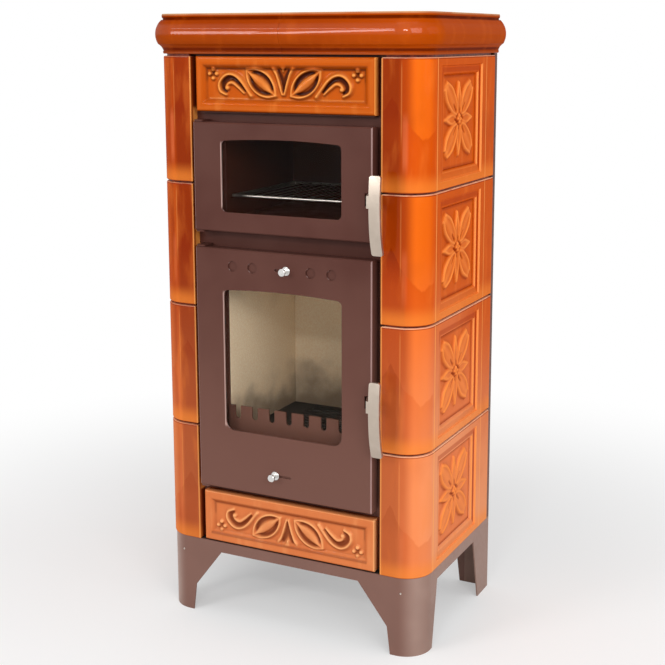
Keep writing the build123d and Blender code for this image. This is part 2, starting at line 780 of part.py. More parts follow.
# ---------------------------------------------------------------- oven
oven_back = smoke_back - smoke_sheet - oven_passage - oven_sheet
with BuildPart() as oven_box:
    block(-half_mouth - oven_sheet, half_mouth + oven_sheet, frame_back, oven_back + oven_sheet,
          oven_mouth_bottom - oven_sheet, oven_mouth_top + oven_sheet)
    block(-half_mouth, half_mouth, frame_back, oven_back, oven_mouth_bottom, oven_mouth_top,
          mode=Mode.SUBTRACT)
    for side in (1, -1):
        block(side * (half_mouth - runner_width), side * half_mouth, frame_back + runner_inset,
              oven_back, runner_height - oven_sheet, runner_height)
save(oven_box.part, "oven_box")

rack_half = half_mouth - rack_clearance - rack_rod / 2
rack_front = frame_back + rack_inset
rack_rear = oven_back - rack_rear_gap
rack_level = runner_height + rack_rod / 2
with BuildPart() as oven_rack:
    for side in (1, -1):
        with Locations(Location((side * rack_half, (rack_front + rack_rear) / 2, rack_level),
                                (90, 0, 0))):
            Cylinder(rack_rod / 2, rack_rear - rack_front)
    for depth in (rack_front, rack_rear):
        with Locations(Location((0, depth, rack_level), (0, 90, 0))):
            Cylinder(rack_rod / 2, 2 * rack_half + rack_rod)
    wire_pitch = 2 * rack_half / (rack_wires + 1)
    with Locations(Location((0, (rack_front + rack_rear) / 2, rack_level), (90, 0, 0))):
        with GridLocations(wire_pitch, 0, rack_wires, 1):
            Cylinder(rack_wire / 2, rack_rear - rack_front)
save(oven_rack.part, "oven_rack")

# ---------------------------------------------------------------- doors
seal_back = frame_front - seal_clearance
knuckle_bore = hinge_pin + hinge_running
ear_gap = latch_block / 2 + latch_gap

secondary_low = air_hole_height - secondary_height / 2
guide_low = secondary_low - guide_gap - guide_foot
rib_inset = door_sheet + rib_margin
oven_rib_bottom = oven_door_bottom + rib_inset

doors = (
    {
        "name": "oven",
        "bottom": oven_door_bottom,
        "top": oven_door_top,
        "rib_bottom": oven_rib_bottom,
        "window_bottom": oven_rib_bottom + rib_width + glass_foot_gap + glass_lap,
        "pane_top": oven_door_top - rib_inset - rib_width - glass_top_gap,
        "foot_round": window_round,
        "latch_drop": oven_latch_drop,
    },
    {
        "name": "fire",
        "bottom": fire_door_bottom,
        "top": fire_door_top,
        "rib_bottom": fire_door_bottom + fire_rib_margin,
        "window_bottom": fire_door_bottom + fire_window_sill,
        "pane_top": guide_low - fire_glass_gap,
        "foot_round": fire_window_foot_round,
        "latch_drop": fire_latch_drop,
    },
)

claw_back = frame_front - claw_gap
slide_front = door_inside + air_clearance
slide_back = slide_front + air_sheet
lip_front = slide_back + knob_clearance
leaf_left = primary_knob_x - primary_travel
leaf_right = primary_knob_x + primary_travel
leaf_top = primary_knob_height + primary_leaf_lap
slot_front = tile_face - primary_slot_front
slot_back = tile_face + primary_slot_rear
stem_slot = knob_stem + air_clearance
intake_places = [(i - (primary_slots - 1) / 2) * primary_pitch for i in range(primary_slots)]
hole_places = [-air_hole_outer, -air_hole_inner, air_hole_inner, air_hole_outer]

for door in doors:
    name = door["name"]
    bottom = door["bottom"]
    top = door["top"]
    rib_bottom = door["rib_bottom"]
    rib_top = top - rib_inset
    rib_middle = (rib_bottom + rib_top) / 2
    latch_level = (bottom + top) / 2 - door["latch_drop"]
    window_bottom = door["window_bottom"]
    pane_bottom = window_bottom - glass_lap
    pane_top = door["pane_top"]
    window_top = pane_top - glass_lap - window_rise

    # The panel is a pan: a front plate with turned edges and a stiffening rib.
    with BuildPart() as door_panel:
        block(-door_half, door_half, door_face, door_back, bottom, top)
        chamfer(door_panel.faces().sort_by(Axis.Y)[0].edges(), door_bevel)
        block(-door_half + door_sheet, door_half - door_sheet, door_inside, door_back,
              bottom + door_sheet, top - door_sheet, mode=Mode.SUBTRACT)
        with BuildSketch(front_plane(door_back)):
            with Locations((0, rib_middle)):
                RectangleRounded(2 * rib_outer, rib_top - rib_bottom, rib_round)
                RectangleRounded(2 * rib_inner, rib_top - rib_bottom - 2 * rib_width,
                                 rib_inner_round, mode=Mode.SUBTRACT)
        extrude(amount=door_back - door_inside)
        with BuildSketch(front_plane(door_face)) as window:
            with BuildLine():
                Polyline(
                    (-window_width / 2, window_top),
                    (-window_width / 2, window_bottom),
                    (window_width / 2, window_bottom),
                    (window_width / 2, window_top),
                )
                ThreePointArc(
                    (window_width / 2, window_top),
                    (0, window_top + window_rise),
                    (-window_width / 2, window_top),
                )
            make_face()
            fillet(window.vertices().group_by(Axis.Y)[0], door["foot_round"])
            fillet(window.vertices().group_by(Axis.Y)[-1], window_round)
        extrude(amount=-door_sheet, mode=Mode.SUBTRACT)
        with Locations((-hinge_x, hinge_y, (bottom + top) / 2)):
            Cylinder(knuckle_bore, 2 * (top - bottom), mode=Mode.SUBTRACT)
        block(notch_inner, door_half + past, door_face - past, door_inside + past,
              latch_level - ear_gap, latch_level + ear_gap, mode=Mode.SUBTRACT)
        block(door_half - door_sheet - past, door_half + past, door_face - past,
              door_back + past, latch_level - ear_gap, latch_level + ear_gap,
              mode=Mode.SUBTRACT)
        if name == "fire":
            with BuildSketch(front_plane(door_face)):
                for place in hole_places:
                    with Locations((place, air_hole_height)):
                        Circle(air_hole_radius)
                with Locations((secondary_knob_x - secondary_travel / 2, air_hole_height)):
                    SlotCenterToCenter(secondary_travel, 2 * stem_slot)
                with Locations((primary_knob_x + primary_travel / 2, primary_knob_height)):
                    SlotCenterToCenter(primary_travel, 2 * stem_slot)
            extrude(amount=-door_sheet, mode=Mode.SUBTRACT)
            for place in intake_places:
                block(place - primary_slot / 2, place + primary_slot / 2, slot_front,
                      slot_back, bottom - past, bottom + door_sheet + past, mode=Mode.SUBTRACT)
            block(leaf_left - channel_gap, leaf_right + primary_travel + channel_gap,
                  door_inside, lip_front, rib_bottom - past, rib_bottom + rib_width + past,
                  mode=Mode.SUBTRACT)
    save(door_panel.part, f"{name}_door_panel")

    with BuildPart() as door_glass:
        with BuildSketch(front_plane(glass_back)):
            with Locations((0, (pane_bottom + pane_top) / 2)):
                RectangleRounded(2 * pane_half, pane_top - pane_bottom, glass_round)
        extrude(amount=glass_thickness)
    save(door_glass.part, f"{name}_door_glass")

    with BuildPart() as glass_clips:
        for side in (1, -1):
            for share in clip_places:
                level = pane_bottom + share * (pane_top - pane_bottom)
                low, high = level - clip_width / 2, level + clip_width / 2
                block(side * (pane_half + lining_clearance), side * (rib_inner - clip_clearance),
                      door_inside, glass_back, low, high)
                block(side * (pane_half - clip_lap), side * (rib_inner - clip_clearance),
                      glass_back, glass_back + clip_sheet, low, high)
    save(glass_clips.part, f"{name}_glass_clips")

    with BuildPart() as door_seal:
        with BuildSketch(front_plane(seal_back)):
            with Locations((0, rib_middle)):
                seal_half = rib_outer - (rib_width - seal_width) / 2
                seal_height = rib_top - rib_bottom - (rib_width - seal_width)
                RectangleRounded(2 * seal_half, seal_height, rib_round)
                RectangleRounded(2 * (seal_half - seal_width), seal_height - 2 * seal_width,
                                 rib_inner_round, mode=Mode.SUBTRACT)
        extrude(amount=seal_back - door_back)
        chamfer(door_seal.faces().sort_by(Axis.Y)[-1].edges(), seal_bevel)
    save(door_seal.part, f"{name}_door_seal")

    with BuildPart() as hinge_brackets:
        for edge, way in ((bottom, -1), (top, 1)):
            near = edge + way * hinge_gap
            far = near + way * hinge_plate
            inner = edge - way * hinge_entry
            block(-hinge_x - hinge_reach, -hinge_x + hinge_reach, hinge_y - hinge_reach,
                  frame_front, near, far)
            with Locations((-hinge_x, hinge_y, (inner + near) / 2)):
                Cylinder(hinge_pin, abs(near - inner))
        fillet(hinge_brackets.edges().filter_by(Axis.Z).group_by(Axis.Y)[0], hinge_round)
    save(hinge_brackets.part, f"{name}_hinge_brackets")

    with BuildPart() as latch_bracket:
        for way in (1, -1):
            low = latch_level + way * ear_gap
            high = low + way * latch_ear
            block(notch_inner, door_half - door_sheet, door_inside,
                  door_inside + latch_ear_depth, low, high)
        with Locations((latch_x, latch_pivot_y, latch_level)):
            Cylinder(latch_pin, 2 * (ear_gap + latch_ear))
    save(latch_bracket.part, f"{name}_latch_bracket")

    with BuildPart() as keeper:
        keeper_y = claw_back - keeper_set_forward
        keeper_left = keeper_x - keeper_pin
        keeper_right = keeper_x + keeper_pin
        for way in (1, -1):
            low = latch_level + way * ear_gap
            block(keeper_left, keeper_right, keeper_y - keeper_pin, frame_front,
                  low, low + way * latch_ear)
        with Locations((keeper_x, keeper_y, latch_level)):
            Cylinder(keeper_pin, 2 * ear_gap)
    save(keeper.part, f"{name}_keeper")

    # The handle is one casting: curved bar, arm through the notch, and claw.
    bar_front = tile_face - handle_reach
    bar_back = bar_front + handle_thickness
    claw_tip = keeper_right + keeper_gap
    handle_low = latch_level - handle_below
    handle_high = handle_low + handle_length
    bend_level = latch_level - handle_bend
    with BuildPart() as handle:
        with BuildSketch(Plane.YZ.offset(handle_x - handle_width / 2)):
            with BuildLine():
                front_top = TangentArc(
                    (bar_front, latch_level),
                    (bar_front + handle_top_set_back, handle_high), tangent=(0, 1))
                front_bend = TangentArc(
                    (bar_front, latch_level),
                    (bar_front + handle_bend_set_back, bend_level), tangent=(0, -1))
                front_foot = TangentArc(
                    front_bend @ 1, (bar_front + handle_foot_set_back, handle_low),
                    tangent=front_bend % 1)
                back_top = TangentArc(
                    (bar_back, latch_level),
                    (bar_back + handle_top_set_back, handle_high), tangent=(0, 1))
                back_bend = TangentArc(
                    (bar_back, latch_level),
                    (bar_back + handle_bend_set_back, bend_level), tangent=(0, -1))
                back_foot = TangentArc(
                    back_bend @ 1,
                    (bar_back + handle_foot_set_back, handle_low + handle_foot_slant),
                    tangent=back_bend % 1)
                Line(front_top @ 1, back_top @ 1)
                Line(front_foot @ 1, back_foot @ 1)
            make_face()
        extrude(amount=handle_width)
        # The bar's outline, seen from the front, is rounded at all four corners.
        with BuildSketch(front_plane(bar_back + handle_reach)):
            with Locations((handle_x, (handle_low + handle_high) / 2)):
                RectangleRounded(handle_width, handle_length, handle_corner)
        extrude(amount=2 * handle_reach, mode=Mode.INTERSECT)
        with BuildSketch(Plane.XY.offset(latch_level - latch_block / 2)):
            with BuildLine():
                Polyline(
                    (latch_x - arm_neck, latch_pivot_y),
                    (latch_x - arm_neck, door_face),
                    (handle_x - arm_inner, bar_back - arm_bite),
                    (handle_x + arm_outer, bar_back - arm_bite),
                    (handle_x + arm_outer_foot, bar_back + arm_bite),
                    (latch_x + arm_flank, door_face),
                    (latch_x + latch_hub, latch_pivot_y),
                    (latch_x + claw_root, claw_back),
                    (claw_tip, claw_back),
                    (claw_tip, claw_back - claw_thickness),
                    (latch_x - claw_throat, claw_back - claw_thickness - claw_rake),
                    (latch_x - latch_hub, latch_pivot_y),
                    close=True,
                )
            make_face()
            with Locations((latch_x, latch_pivot_y)):
                Circle(latch_hub)
                Circle(latch_pin + hinge_running, mode=Mode.SUBTRACT)
        extrude(amount=latch_block)
    save(handle.part, f"{name}_handle")

# ---------------------------------------------------------------- air slides
slide_top = air_hole_height + secondary_height / 2
secondary_end = air_hole_outer + air_hole_radius + secondary_border
fire_rib_top = fire_door_top - rib_inset - rib_width
with BuildPart() as secondary_air_slide:
    with BuildSketch(front_plane(slide_back)):
        with Locations((secondary_travel / 2, air_hole_height)):
            Rectangle(2 * secondary_end + secondary_travel, secondary_height)
        for place in hole_places:
            with Locations((place + secondary_travel, air_hole_height)):
                Circle(air_hole_radius, mode=Mode.SUBTRACT)
    extrude(amount=air_sheet)
save(secondary_air_slide.part, "secondary_air_slide")

floor_gap = fire_door_bottom + door_sheet + air_clearance
with BuildPart() as primary_air_slide:
    block(leaf_left, leaf_right, slide_front, slide_back, floor_gap, leaf_top)
    slide_reach = intake_places[-1] + primary_slot / 2 + primary_border
    block(-slide_reach - primary_travel, slide_reach, slide_front, slot_back + primary_edge,
          floor_gap, floor_gap + air_sheet)
    for place in intake_places:
        block(place - primary_travel - primary_slot / 2, place - primary_travel
              + primary_slot / 2, slot_front, slot_back, floor_gap - past,
              floor_gap + air_sheet + past, mode=Mode.SUBTRACT)
save(primary_air_slide.part, "primary_air_slide")

guide_half = rib_inner - guide_end_gap
strip_low = leaf_top + guide_gap
strip_left = leaf_left - guide_overrun
strip_right = leaf_right + primary_travel + guide_overrun
with BuildPart() as air_slide_guides:
    # Lower and upper guides of the secondary slide, then the primary one's.
    block(-guide_half, guide_half, door_inside, lip_front, guide_low, guide_low + guide_foot)
    block(-guide_half, guide_half, lip_front, lip_front + guide_sheet, guide_low,
          secondary_low + guide_lap)
    block(-guide_half, guide_half, lip_front, lip_front + guide_sheet,
          slide_top - guide_lap, fire_rib_top)
    block(strip_left, strip_right, door_inside, lip_front, strip_low, strip_low + guide_foot)
    block(strip_left, strip_right, lip_front, lip_front + guide_sheet,
          leaf_top - guide_lap, strip_low + guide_foot)
save(air_slide_guides.part, "air_slide_guides")

for name, knob_x, knob_z in (
    ("secondary_air_knob", secondary_knob_x, air_hole_height),
    ("primary_air_knob", primary_knob_x, primary_knob_height),
):
    with BuildPart() as knob:
        knob_base = -knob_clearance
        flange_front = knob_base - knob_flange_thickness
        head_back = -knob_length + knob_head_thickness
        with BuildSketch(Plane(origin=(knob_x, door_face, knob_z), x_dir=(1, 0, 0),
                               z_dir=(0, 0, 1))):
            with BuildLine():
                Polyline(
                    (0, door_sheet + air_clearance),
                    (knob_stem, door_sheet + air_clearance),
                    (knob_stem, knob_base),
                    (knob_flange, knob_base),
                    (knob_flange, flange_front + knob_edge),
                    (knob_flange - knob_edge, flange_front),
                    (knob_neck, flange_front),
                    (knob_neck, flange_front - knob_neck),
                    (knob_head - knob_edge, head_back),
                    (knob_head, head_back - knob_edge),
                    (knob_head, -knob_length + knob_edge),
                    (knob_head - knob_edge, -knob_length),
                    (0, -knob_length),
                    (0, door_sheet + air_clearance),
                )
            make_face()
        revolve(axis=Axis((knob_x, door_face, knob_z), (0, 1, 0)))
    save(knob.part, name)
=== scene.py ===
import json
from math import pi

import bmesh
import bpy
import numpy as np
from mathutils import Matrix, Vector


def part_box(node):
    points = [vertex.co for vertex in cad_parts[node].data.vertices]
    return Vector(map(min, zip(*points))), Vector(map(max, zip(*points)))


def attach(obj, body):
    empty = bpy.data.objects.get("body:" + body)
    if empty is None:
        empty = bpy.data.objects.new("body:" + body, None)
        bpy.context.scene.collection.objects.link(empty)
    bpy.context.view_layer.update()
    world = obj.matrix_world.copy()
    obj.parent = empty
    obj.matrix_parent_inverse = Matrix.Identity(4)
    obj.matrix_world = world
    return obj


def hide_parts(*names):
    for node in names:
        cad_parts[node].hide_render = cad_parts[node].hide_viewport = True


# The looks of a tiled wood stove: glazed tiles with reliefs, painted steel,
# pale fire chamber, nickel handles. Metres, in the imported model's own frame.

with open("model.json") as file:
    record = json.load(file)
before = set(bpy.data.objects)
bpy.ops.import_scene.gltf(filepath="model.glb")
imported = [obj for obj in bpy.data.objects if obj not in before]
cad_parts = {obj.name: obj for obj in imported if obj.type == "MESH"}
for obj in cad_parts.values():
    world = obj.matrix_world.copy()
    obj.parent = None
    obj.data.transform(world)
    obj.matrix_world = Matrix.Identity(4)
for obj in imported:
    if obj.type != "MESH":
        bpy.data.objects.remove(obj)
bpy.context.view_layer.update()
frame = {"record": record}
mm = 0.001

# Sizes that several finishes and pieces share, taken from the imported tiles.
# The mantle is what the tiles and the skirt form: two straight sides and a
# front, joined by rounds whose middles are at round_x and round_y.
first_tile_low, first_tile_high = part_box("corner_tile_right_1")
second_tile_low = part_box("corner_tile_right_2")[0]
crown_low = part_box("crown_right")[0]
tile_height = first_tile_high.z - first_tile_low.z
course_pitch = second_tile_low.z - first_tile_low.z
tile_face = first_tile_low.y
mantle_half = first_tile_high.x
mantle_round = 50 * mm
round_x = mantle_half - mantle_round
round_y = tile_face + mantle_round
# The panel on a corner tile's side face, measured back from the tile's front.
panel_middle = 167.5 * mm
panel_sunk = 8 * mm


# ------------------------------------------------------------------ node trees
def srgb(red, green, blue):
    """A colour given as screen values from 0 to 255, as the shader's linear one."""
    linear = []
    for part in (red, green, blue):
        share = part / 255
        linear.append(share / 12.92 if share <= 0.04045 else ((share + 0.055) / 1.055) ** 2.4)
    return (*linear, 1.0)


class Value:
    """A number or colour that varies over a surface: one socket of a node tree."""

    def __init__(self, tree, socket):
        self.tree = tree
        self.socket = socket

    def maths(self, operation, first, second=0.0):
        return self.tree.node("ShaderNodeMath", {"operation": operation}, {0: first, 1: second})

    def __add__(self, other):
        return self.maths("ADD", self, other)

    def __radd__(self, other):
        return self.maths("ADD", other, self)

    def __sub__(self, other):
        return self.maths("SUBTRACT", self, other)

    def __rsub__(self, other):
        return self.maths("SUBTRACT", other, self)

    def __mul__(self, other):
        return self.maths("MULTIPLY", self, other)

    def __rmul__(self, other):
        return self.maths("MULTIPLY", other, self)

    def __truediv__(self, other):
        return self.maths("DIVIDE", self, other)

    def __rtruediv__(self, other):
        return self.maths("DIVIDE", other, self)

    def __pow__(self, power):
        return self.maths("POWER", self, power)

    def __abs__(self):
        return self.maths("ABSOLUTE", self)

    def rise(self, start, end, low=0.0, high=1.0):
        """Smoothly from low to high as this value goes from start to end."""
        return self.tree.node(
            "ShaderNodeMapRange", {"interpolation_type": "SMOOTHSTEP"},
            {"Value": self, "From Min": start, "From Max": end, "To Min": low, "To Max": high})

    def fraction(self):
        return self.maths("FRACT", self)

    def sine(self):
        return self.maths("SINE", self)

    def band(self, start, full, still, end):
        """1 between two values, fading out to 0 on both sides of them."""
        return self.rise(start, full) * self.rise(end, still)

    def bearing(self, ahead):
        """The angle in degrees of a direction this far aside and that far ahead."""
        return self.maths("ARCTAN2", self, ahead) * (180 / pi)

    def larger(self, other):
        return self.maths("MAXIMUM", self, other)


def largest(first, *others):
    """Of several varying values, the one that is largest at each place."""
    for other in others:
        first = first.larger(other)
    return first


class Tree:
    """The nodes of a material or of the world, all made by one method."""

    def __init__(self, owner):
        owner.use_nodes = True
        self.nodes = owner.node_tree.nodes
        self.links = owner.node_tree.links

    def put(self, socket, value):
        if isinstance(value, Value):
            self.links.new(value.socket, socket)
        else:
            socket.default_value = value

    def node(self, kind, settings, inputs, output=0):
        """Any node: its type, its settings, then the values or links of its sockets."""
        made = self.nodes.new(kind)
        for name, value in settings.items():
            setattr(made, name, value)
        for name, value in inputs.items():
            self.put(made.inputs[name], value)
        return Value(self, made.outputs[output])

    def ray(self, kind):
        return self.node("ShaderNodeLightPath", {}, {}, f"Is {kind} Ray")

    def seen(self):
        """1 where the eye sees this straight, in a reflection or through glass."""
        return largest(self.ray("Camera"), self.ray("Glossy"), self.ray("Transmission"))


class Finish(Tree):
    """A material: its shader, and the nodes that make it vary."""

    def __init__(self, name, **constants):
        self.material = bpy.data.materials.new(name)
        super().__init__(self.material)
        self.shader = self.nodes["Principled BSDF"]
        for socket, value in constants.items():
            self.set(socket.replace("_", " "), value)

    def set(self, socket, value):
        """Put a number, a colour or a varying value on a socket of the shader."""
        self.put(self.shader.inputs[socket], value)

    def surface(self, shading):
        self.put(self.nodes["Material Output"].inputs["Surface"], shading)

    def blend_shaders(self, share, other):
        """From the finish's own shader to another one as the share goes from 0 to 1."""
        own = Value(self, self.shader.outputs["BSDF"])
        self.surface(self.node("ShaderNodeMixShader", {}, {0: share, 1: own, 2: other}))

    def place(self):
        """The surface's own place, in metres."""
        return self.node("ShaderNodeTexCoord", {}, {}, "Object")

    def along(self, axis):
        """The surface's own place on one axis, in metres."""
        return self.node("ShaderNodeSeparateXYZ", {}, {"Vector": self.place()}, axis)

    def facing(self, axis):
        """How far the surface faces along an axis: 0 across it, 1 along it either way."""
        normal = self.node("ShaderNodeTexCoord", {}, {}, "Normal")
        return abs(self.node("ShaderNodeSeparateXYZ", {}, {"Vector": normal}, axis))

    def stretched(self, along_x, along_y, along_z):
        """The place, with a pattern made longer along each axis by these factors."""
        scale = (1 / along_x, 1 / along_y, 1 / along_z)
        return self.node("ShaderNodeMapping", {}, {"Vector": self.place(), "Scale": scale})

    def noise(self, size, detail=2.0, roughness=0.5, where=None):
        """Soft random blotches of about this size in metres, from 0 to 1."""
        return self.node("ShaderNodeTexNoise", {"normalize": True},
                         {"Vector": where or self.place(), "Scale": 1 / size,
                          "Detail": detail, "Roughness": roughness})

    def attribute(self, name):
        return self.node("ShaderNodeAttribute", {"attribute_name": name}, {}, "Fac")

    def mix(self, share, first, second):
        """From the first colour to the second as the share goes from 0 to 1."""
        return self.node("ShaderNodeMix", {"data_type": "RGBA", "clamp_factor": True},
                         {0: share, 6: first, 7: second}, 2)

    def stops(self, value, *steps):
        """A colour that passes smoothly through (value, colour) steps."""
        start, colour = steps[0]
        for end, following in steps[1:]:
            colour = self.mix(value.rise(start, end), colour, following)
            start = end
        return colour

    def mottle(self, size, first, second, detail=2.0):
        """Soft blotches of two colours, of about this size."""
        self.set("Base Color", self.mix(self.noise(size, detail), first, second))

    def worn(self, size, least, most, detail=2.0):
        """A roughness that wanders between two values, in blotches of this size."""
        self.set("Roughness", self.noise(size, detail).rise(0.3, 0.7, least, most))

    def bump(self, height, distance):
        """Put a height on the surface as relief, in units of this distance."""
        self.set("Normal", self.node("ShaderNodeBump", {},
                                     {"Height": height, "Distance": distance}))

    def on(self, *names):
        """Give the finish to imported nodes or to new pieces, by name."""
        for name in names:
            mesh = bpy.data.objects[name].data
            mesh.materials.clear()
            mesh.materials.append(self.material)


# ------------------------------------------------------------------ glazes
def glaze(name):
    """The gloss that all the glazes share: a thin clear skin over a warm body."""
    made = Finish(name, Metallic=0.08, Roughness=0.3, Specular_IOR_Level=0.0,
                  Coat_Roughness=0.04, Coat_IOR=1.8)
    made.skin = made.facing("X").rise(0.3, 1.0, 0.07, 0.028)
    made.set("Coat Weight", made.skin)
    return made


def run_down(made, colour, light, dark):
    """Vary a glaze's colour with runs down the face and with broad clouds."""
    runs = made.noise(26 * mm, detail=3.0, where=made.stretched(1.0, 1.0, 4.0))
    clouds = made.noise(110 * mm)
    colour = made.mix(runs.rise(0.5, 0.75) * 0.22, colour, light)
    return made.mix(clouds.rise(0.5, 0.8) * 0.25, colour, dark)


def waves(made):
    """The slight waviness of a fired glaze, in millimetres."""
    return made.noise(26 * mm, detail=1.0) * 0.22 + made.noise(5 * mm, detail=1.0) * 0.03


def turn_about_round(x, y):
    """The bearing of a place from the middle of the round: 0 on the front, 90 on the side."""
    return (abs(x) - round_x).bearing(round_y - y)


def between(z, lower, upper):
    """1 at the heights of the gap between two nodes of the front."""
    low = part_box(lower)[1].z
    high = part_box(upper)[0].z
    return z.band(low - 4 * mm, low, high, high + 10 * mm)


corner_glaze = glaze("corner_glaze")
x, y, z = [corner_glaze.along(axis) for axis in "XYZ"]
# How far up its tile a place lies, from 0 to 1; the rest in millimetres and degrees.
up_tile = ((z - first_tile_low.z) / course_pitch).fraction() * (course_pitch / tile_height)
above_foot = up_tile * (tile_height / mm)
below_top = (1 - up_tile) * (tile_height / mm)
out = (abs(x) - round_x) / mm
back = (y - tile_face) / mm
turn = turn_about_round(x, y)
# Painted light and shade: the glaze is darker on the front, most on the left and high up, and
# brighter on the round, where the light from the right falls; it is also paler low down.
shaded_right_front = corner_glaze.stops(z, (0.6, srgb(174, 62, 8)), (0.95, srgb(140, 46, 2)))
front = corner_glaze.mix(x.rise(-0.01, 0.01), srgb(138, 44, 2), shaded_right_front)
deep = corner_glaze.stops(turn, (0, front), (13, srgb(172, 62, 5)),
                          (40, srgb(230, 102, 16)), (62, srgb(230, 100, 16)),
                          (84, srgb(214, 86, 12)), (93, srgb(204, 84, 12)))
pale_front = corner_glaze.mix(x.rise(-0.01, 0.01), srgb(170, 84, 46), srgb(188, 96, 52))
pale = corner_glaze.stops(turn, (0, pale_front), (13, srgb(202, 104, 58)),
                          (40, srgb(240, 140, 86)), (62, srgb(242, 146, 94)),
                          (84, srgb(240, 148, 100)), (93, srgb(236, 152, 106)))
colour = corner_glaze.mix((z + back.rise(120, 320) * 0.14).rise(0.75, 0.27), deep, pale)
# Painted reflection: darker below a ragged V on the round, and in a hump on the front. How high up
# its tile that reaches differs from one course to the next.
ragged = corner_glaze.noise(22 * mm) * 0.1 - 0.05
two_courses = 0.45
level = (((z - 0.93) * (2 * pi / two_courses) + pi / 2).sine() * 0.07 + 0.4) + ragged
below_painted_reflection = level - up_tile + abs(turn - 50) * 0.0034 - (turn - 50) * 0.0012 - 0.07
below_painted_reflection = below_painted_reflection.rise(0.0, 0.03)
below_painted_reflection = below_painted_reflection * turn.band(12, 22, 80, 90) * z.rise(0.4, 0.8, 0.3, 1.0)
colour = corner_glaze.mix(below_painted_reflection * 0.8, colour, srgb(206, 76, 6))
# Painted shade: the left round is darker, turned away from the light.
left_round_shade = x.rise(0.01, -0.01) * turn.band(12, 20, 50, 75) * z.rise(0.3, 0.8, 0.25, 0.5)
colour = corner_glaze.mix(left_round_shade, colour, srgb(128, 38, 4))
# Painted reflection: the dark hump on the front strip.
painted_reflection_hump = (level - up_tile - abs(out + 10) * 0.008 + 0.27).rise(0.0, 0.02)
painted_reflection_hump = painted_reflection_hump * (level - up_tile + 0.22).rise(0.26, 0.06) * turn.rise(26, 12)
colour = corner_glaze.mix(painted_reflection_hump * z.rise(0.4, 0.8, 0.2, 0.55), colour, srgb(132, 34, 0))
# Painted sheen: a pinkish band on the front beside the round, strongest on the upper courses.
painted_sheen = turn.band(8, 13, 17, 24) * up_tile.band(0.1, 0.25, 0.5, 0.62) * z.rise(0.6, 0.85, 0.4)
colour = corner_glaze.mix(painted_sheen * 0.4, colour, srgb(226, 118, 72))
# Painted light: each tile is lighter just above its foot.
colour = corner_glaze.mix(up_tile.rise(0.17, 0.03) * 0.5, colour, srgb(248, 142, 54))
colour = run_down(corner_glaze, colour, light=srgb(240, 130, 50), dark=srgb(160, 52, 8))
# The stepped panel on the side, in millimetres from its middle: painted highlights along its
# edges, painted shade in its corners, and most so on its rear side.
panel_u = back - panel_middle / mm
panel_v = (up_tile - 0.5) * (tile_height / mm)
frame_half_width = 97.5
frame_half_height = tile_height / mm / 2 - 14
past_side = abs(panel_u) - frame_half_width
past_end = abs(panel_v) - frame_half_height
inside = past_side.larger(past_end)
rear_most = (past_side - past_end).rise(-2, 2) * panel_u.rise(-1, 1)
on_side = turn.rise(88, 92)
panel_edge_highlight = inside.band(-2.6, -1.2, 0.2, 1.6).larger(inside.band(-16.4, -14.8, -13.6, -12.6))
panel_corner_shade = inside.band(-13.2, -10.5, -5, -2)
above_most = panel_v.rise(60, 80) * (1 - rear_most)
colour = corner_glaze.mix(panel_corner_shade * on_side * (rear_most * 0.6 + above_most * 0.3 + 0.15),
                          colour, srgb(160, 44, 0))
colour = corner_glaze.mix(panel_edge_highlight * on_side * (rear_most * 0.65 - above_most * 0.25 + 0.25),
                          colour, srgb(255, 160, 84))
# Dark lines along each joint, glaze pooled there and painted shade, and a painted highlight on the
# tile's upper edge, stronger on the right.
joint_dark = above_foot.rise(2.2, 1.0).larger(below_top.band(1.2, 1.9, 2.6, 3.6))
colour = corner_glaze.mix(joint_dark * 0.6, colour, srgb(132, 34, 10))
broken_edge_highlight = corner_glaze.noise(24 * mm).rise(0.3, 0.5, 0.5, 1.0)
broken_edge_highlight = broken_edge_highlight * x.rise(-0.1, 0.1, 0.35, 0.85)
colour = corner_glaze.mix(below_top.rise(1.5, 1.0) * broken_edge_highlight, colour, srgb(252, 196, 160))
# Painted highlights where the round ends and starts, behind the panel and by the opening, where
# the glaze also runs thin.
side_start = 53
side_crease = 286
from_opening = (abs(x) - abs(first_tile_low.x)) / mm
thin = largest(abs(back - side_start).rise(1.9, 0.6) * turn.rise(80, 88) * 0.9,
               abs(turn - 8).rise(1.8, 0.6) * up_tile.band(0.3, 0.5, 0.9, 1.0) * 0.25,
               abs(back - side_crease).rise(1.8, 0.6) * on_side * 0.8,
               from_opening.rise(3.4, 1.6) * back.rise(3, 1) * 0.7)
colour = corner_glaze.mix(thin * 0.75, colour, srgb(255, 172, 92))
# Painted shade on the return towards the front opening, and painted light where nothing stands
# before it.
into_opening = back.rise(3, 9) * turn.rise(-20, -40)
lit = largest(between(z, "oven_door_panel", "relief_tile_top"),
              between(z, "fire_door_panel", "oven_door_panel"),
              between(z, "relief_tile_bottom", "fire_door_panel"))
returned = corner_glaze.mix(lit, srgb(104, 36, 8), srgb(255, 164, 80))
corner_glaze.set("Base Color", corner_glaze.mix(into_opening, colour, returned))
# Each tile's face swells a little towards its middle height.
fallen = (up_tile - 0.5) * (up_tile - 0.5) * 4
corner_glaze.bump(waves(corner_glaze) - fallen * 1.6, mm)

# The crown's lip, roll and upper edge, told apart by their height above its foot.
crown_glaze = glaze("crown_glaze")
height = (crown_glaze.along("Z") - crown_low.z) / mm
colour = crown_glaze.stops(height, (4, srgb(122, 44, 6)), (12, srgb(140, 54, 6)),
                           (26, srgb(156, 62, 8)), (42, srgb(160, 60, 0)), (58, srgb(152, 54, 0)))
# Painted light: the crown is brighter towards the right, where the light falls.
lit_rightward = crown_glaze.along("X").rise(-0.1, 0.28)
colour = crown_glaze.mix(lit_rightward * 0.45, colour, srgb(192, 76, 2))
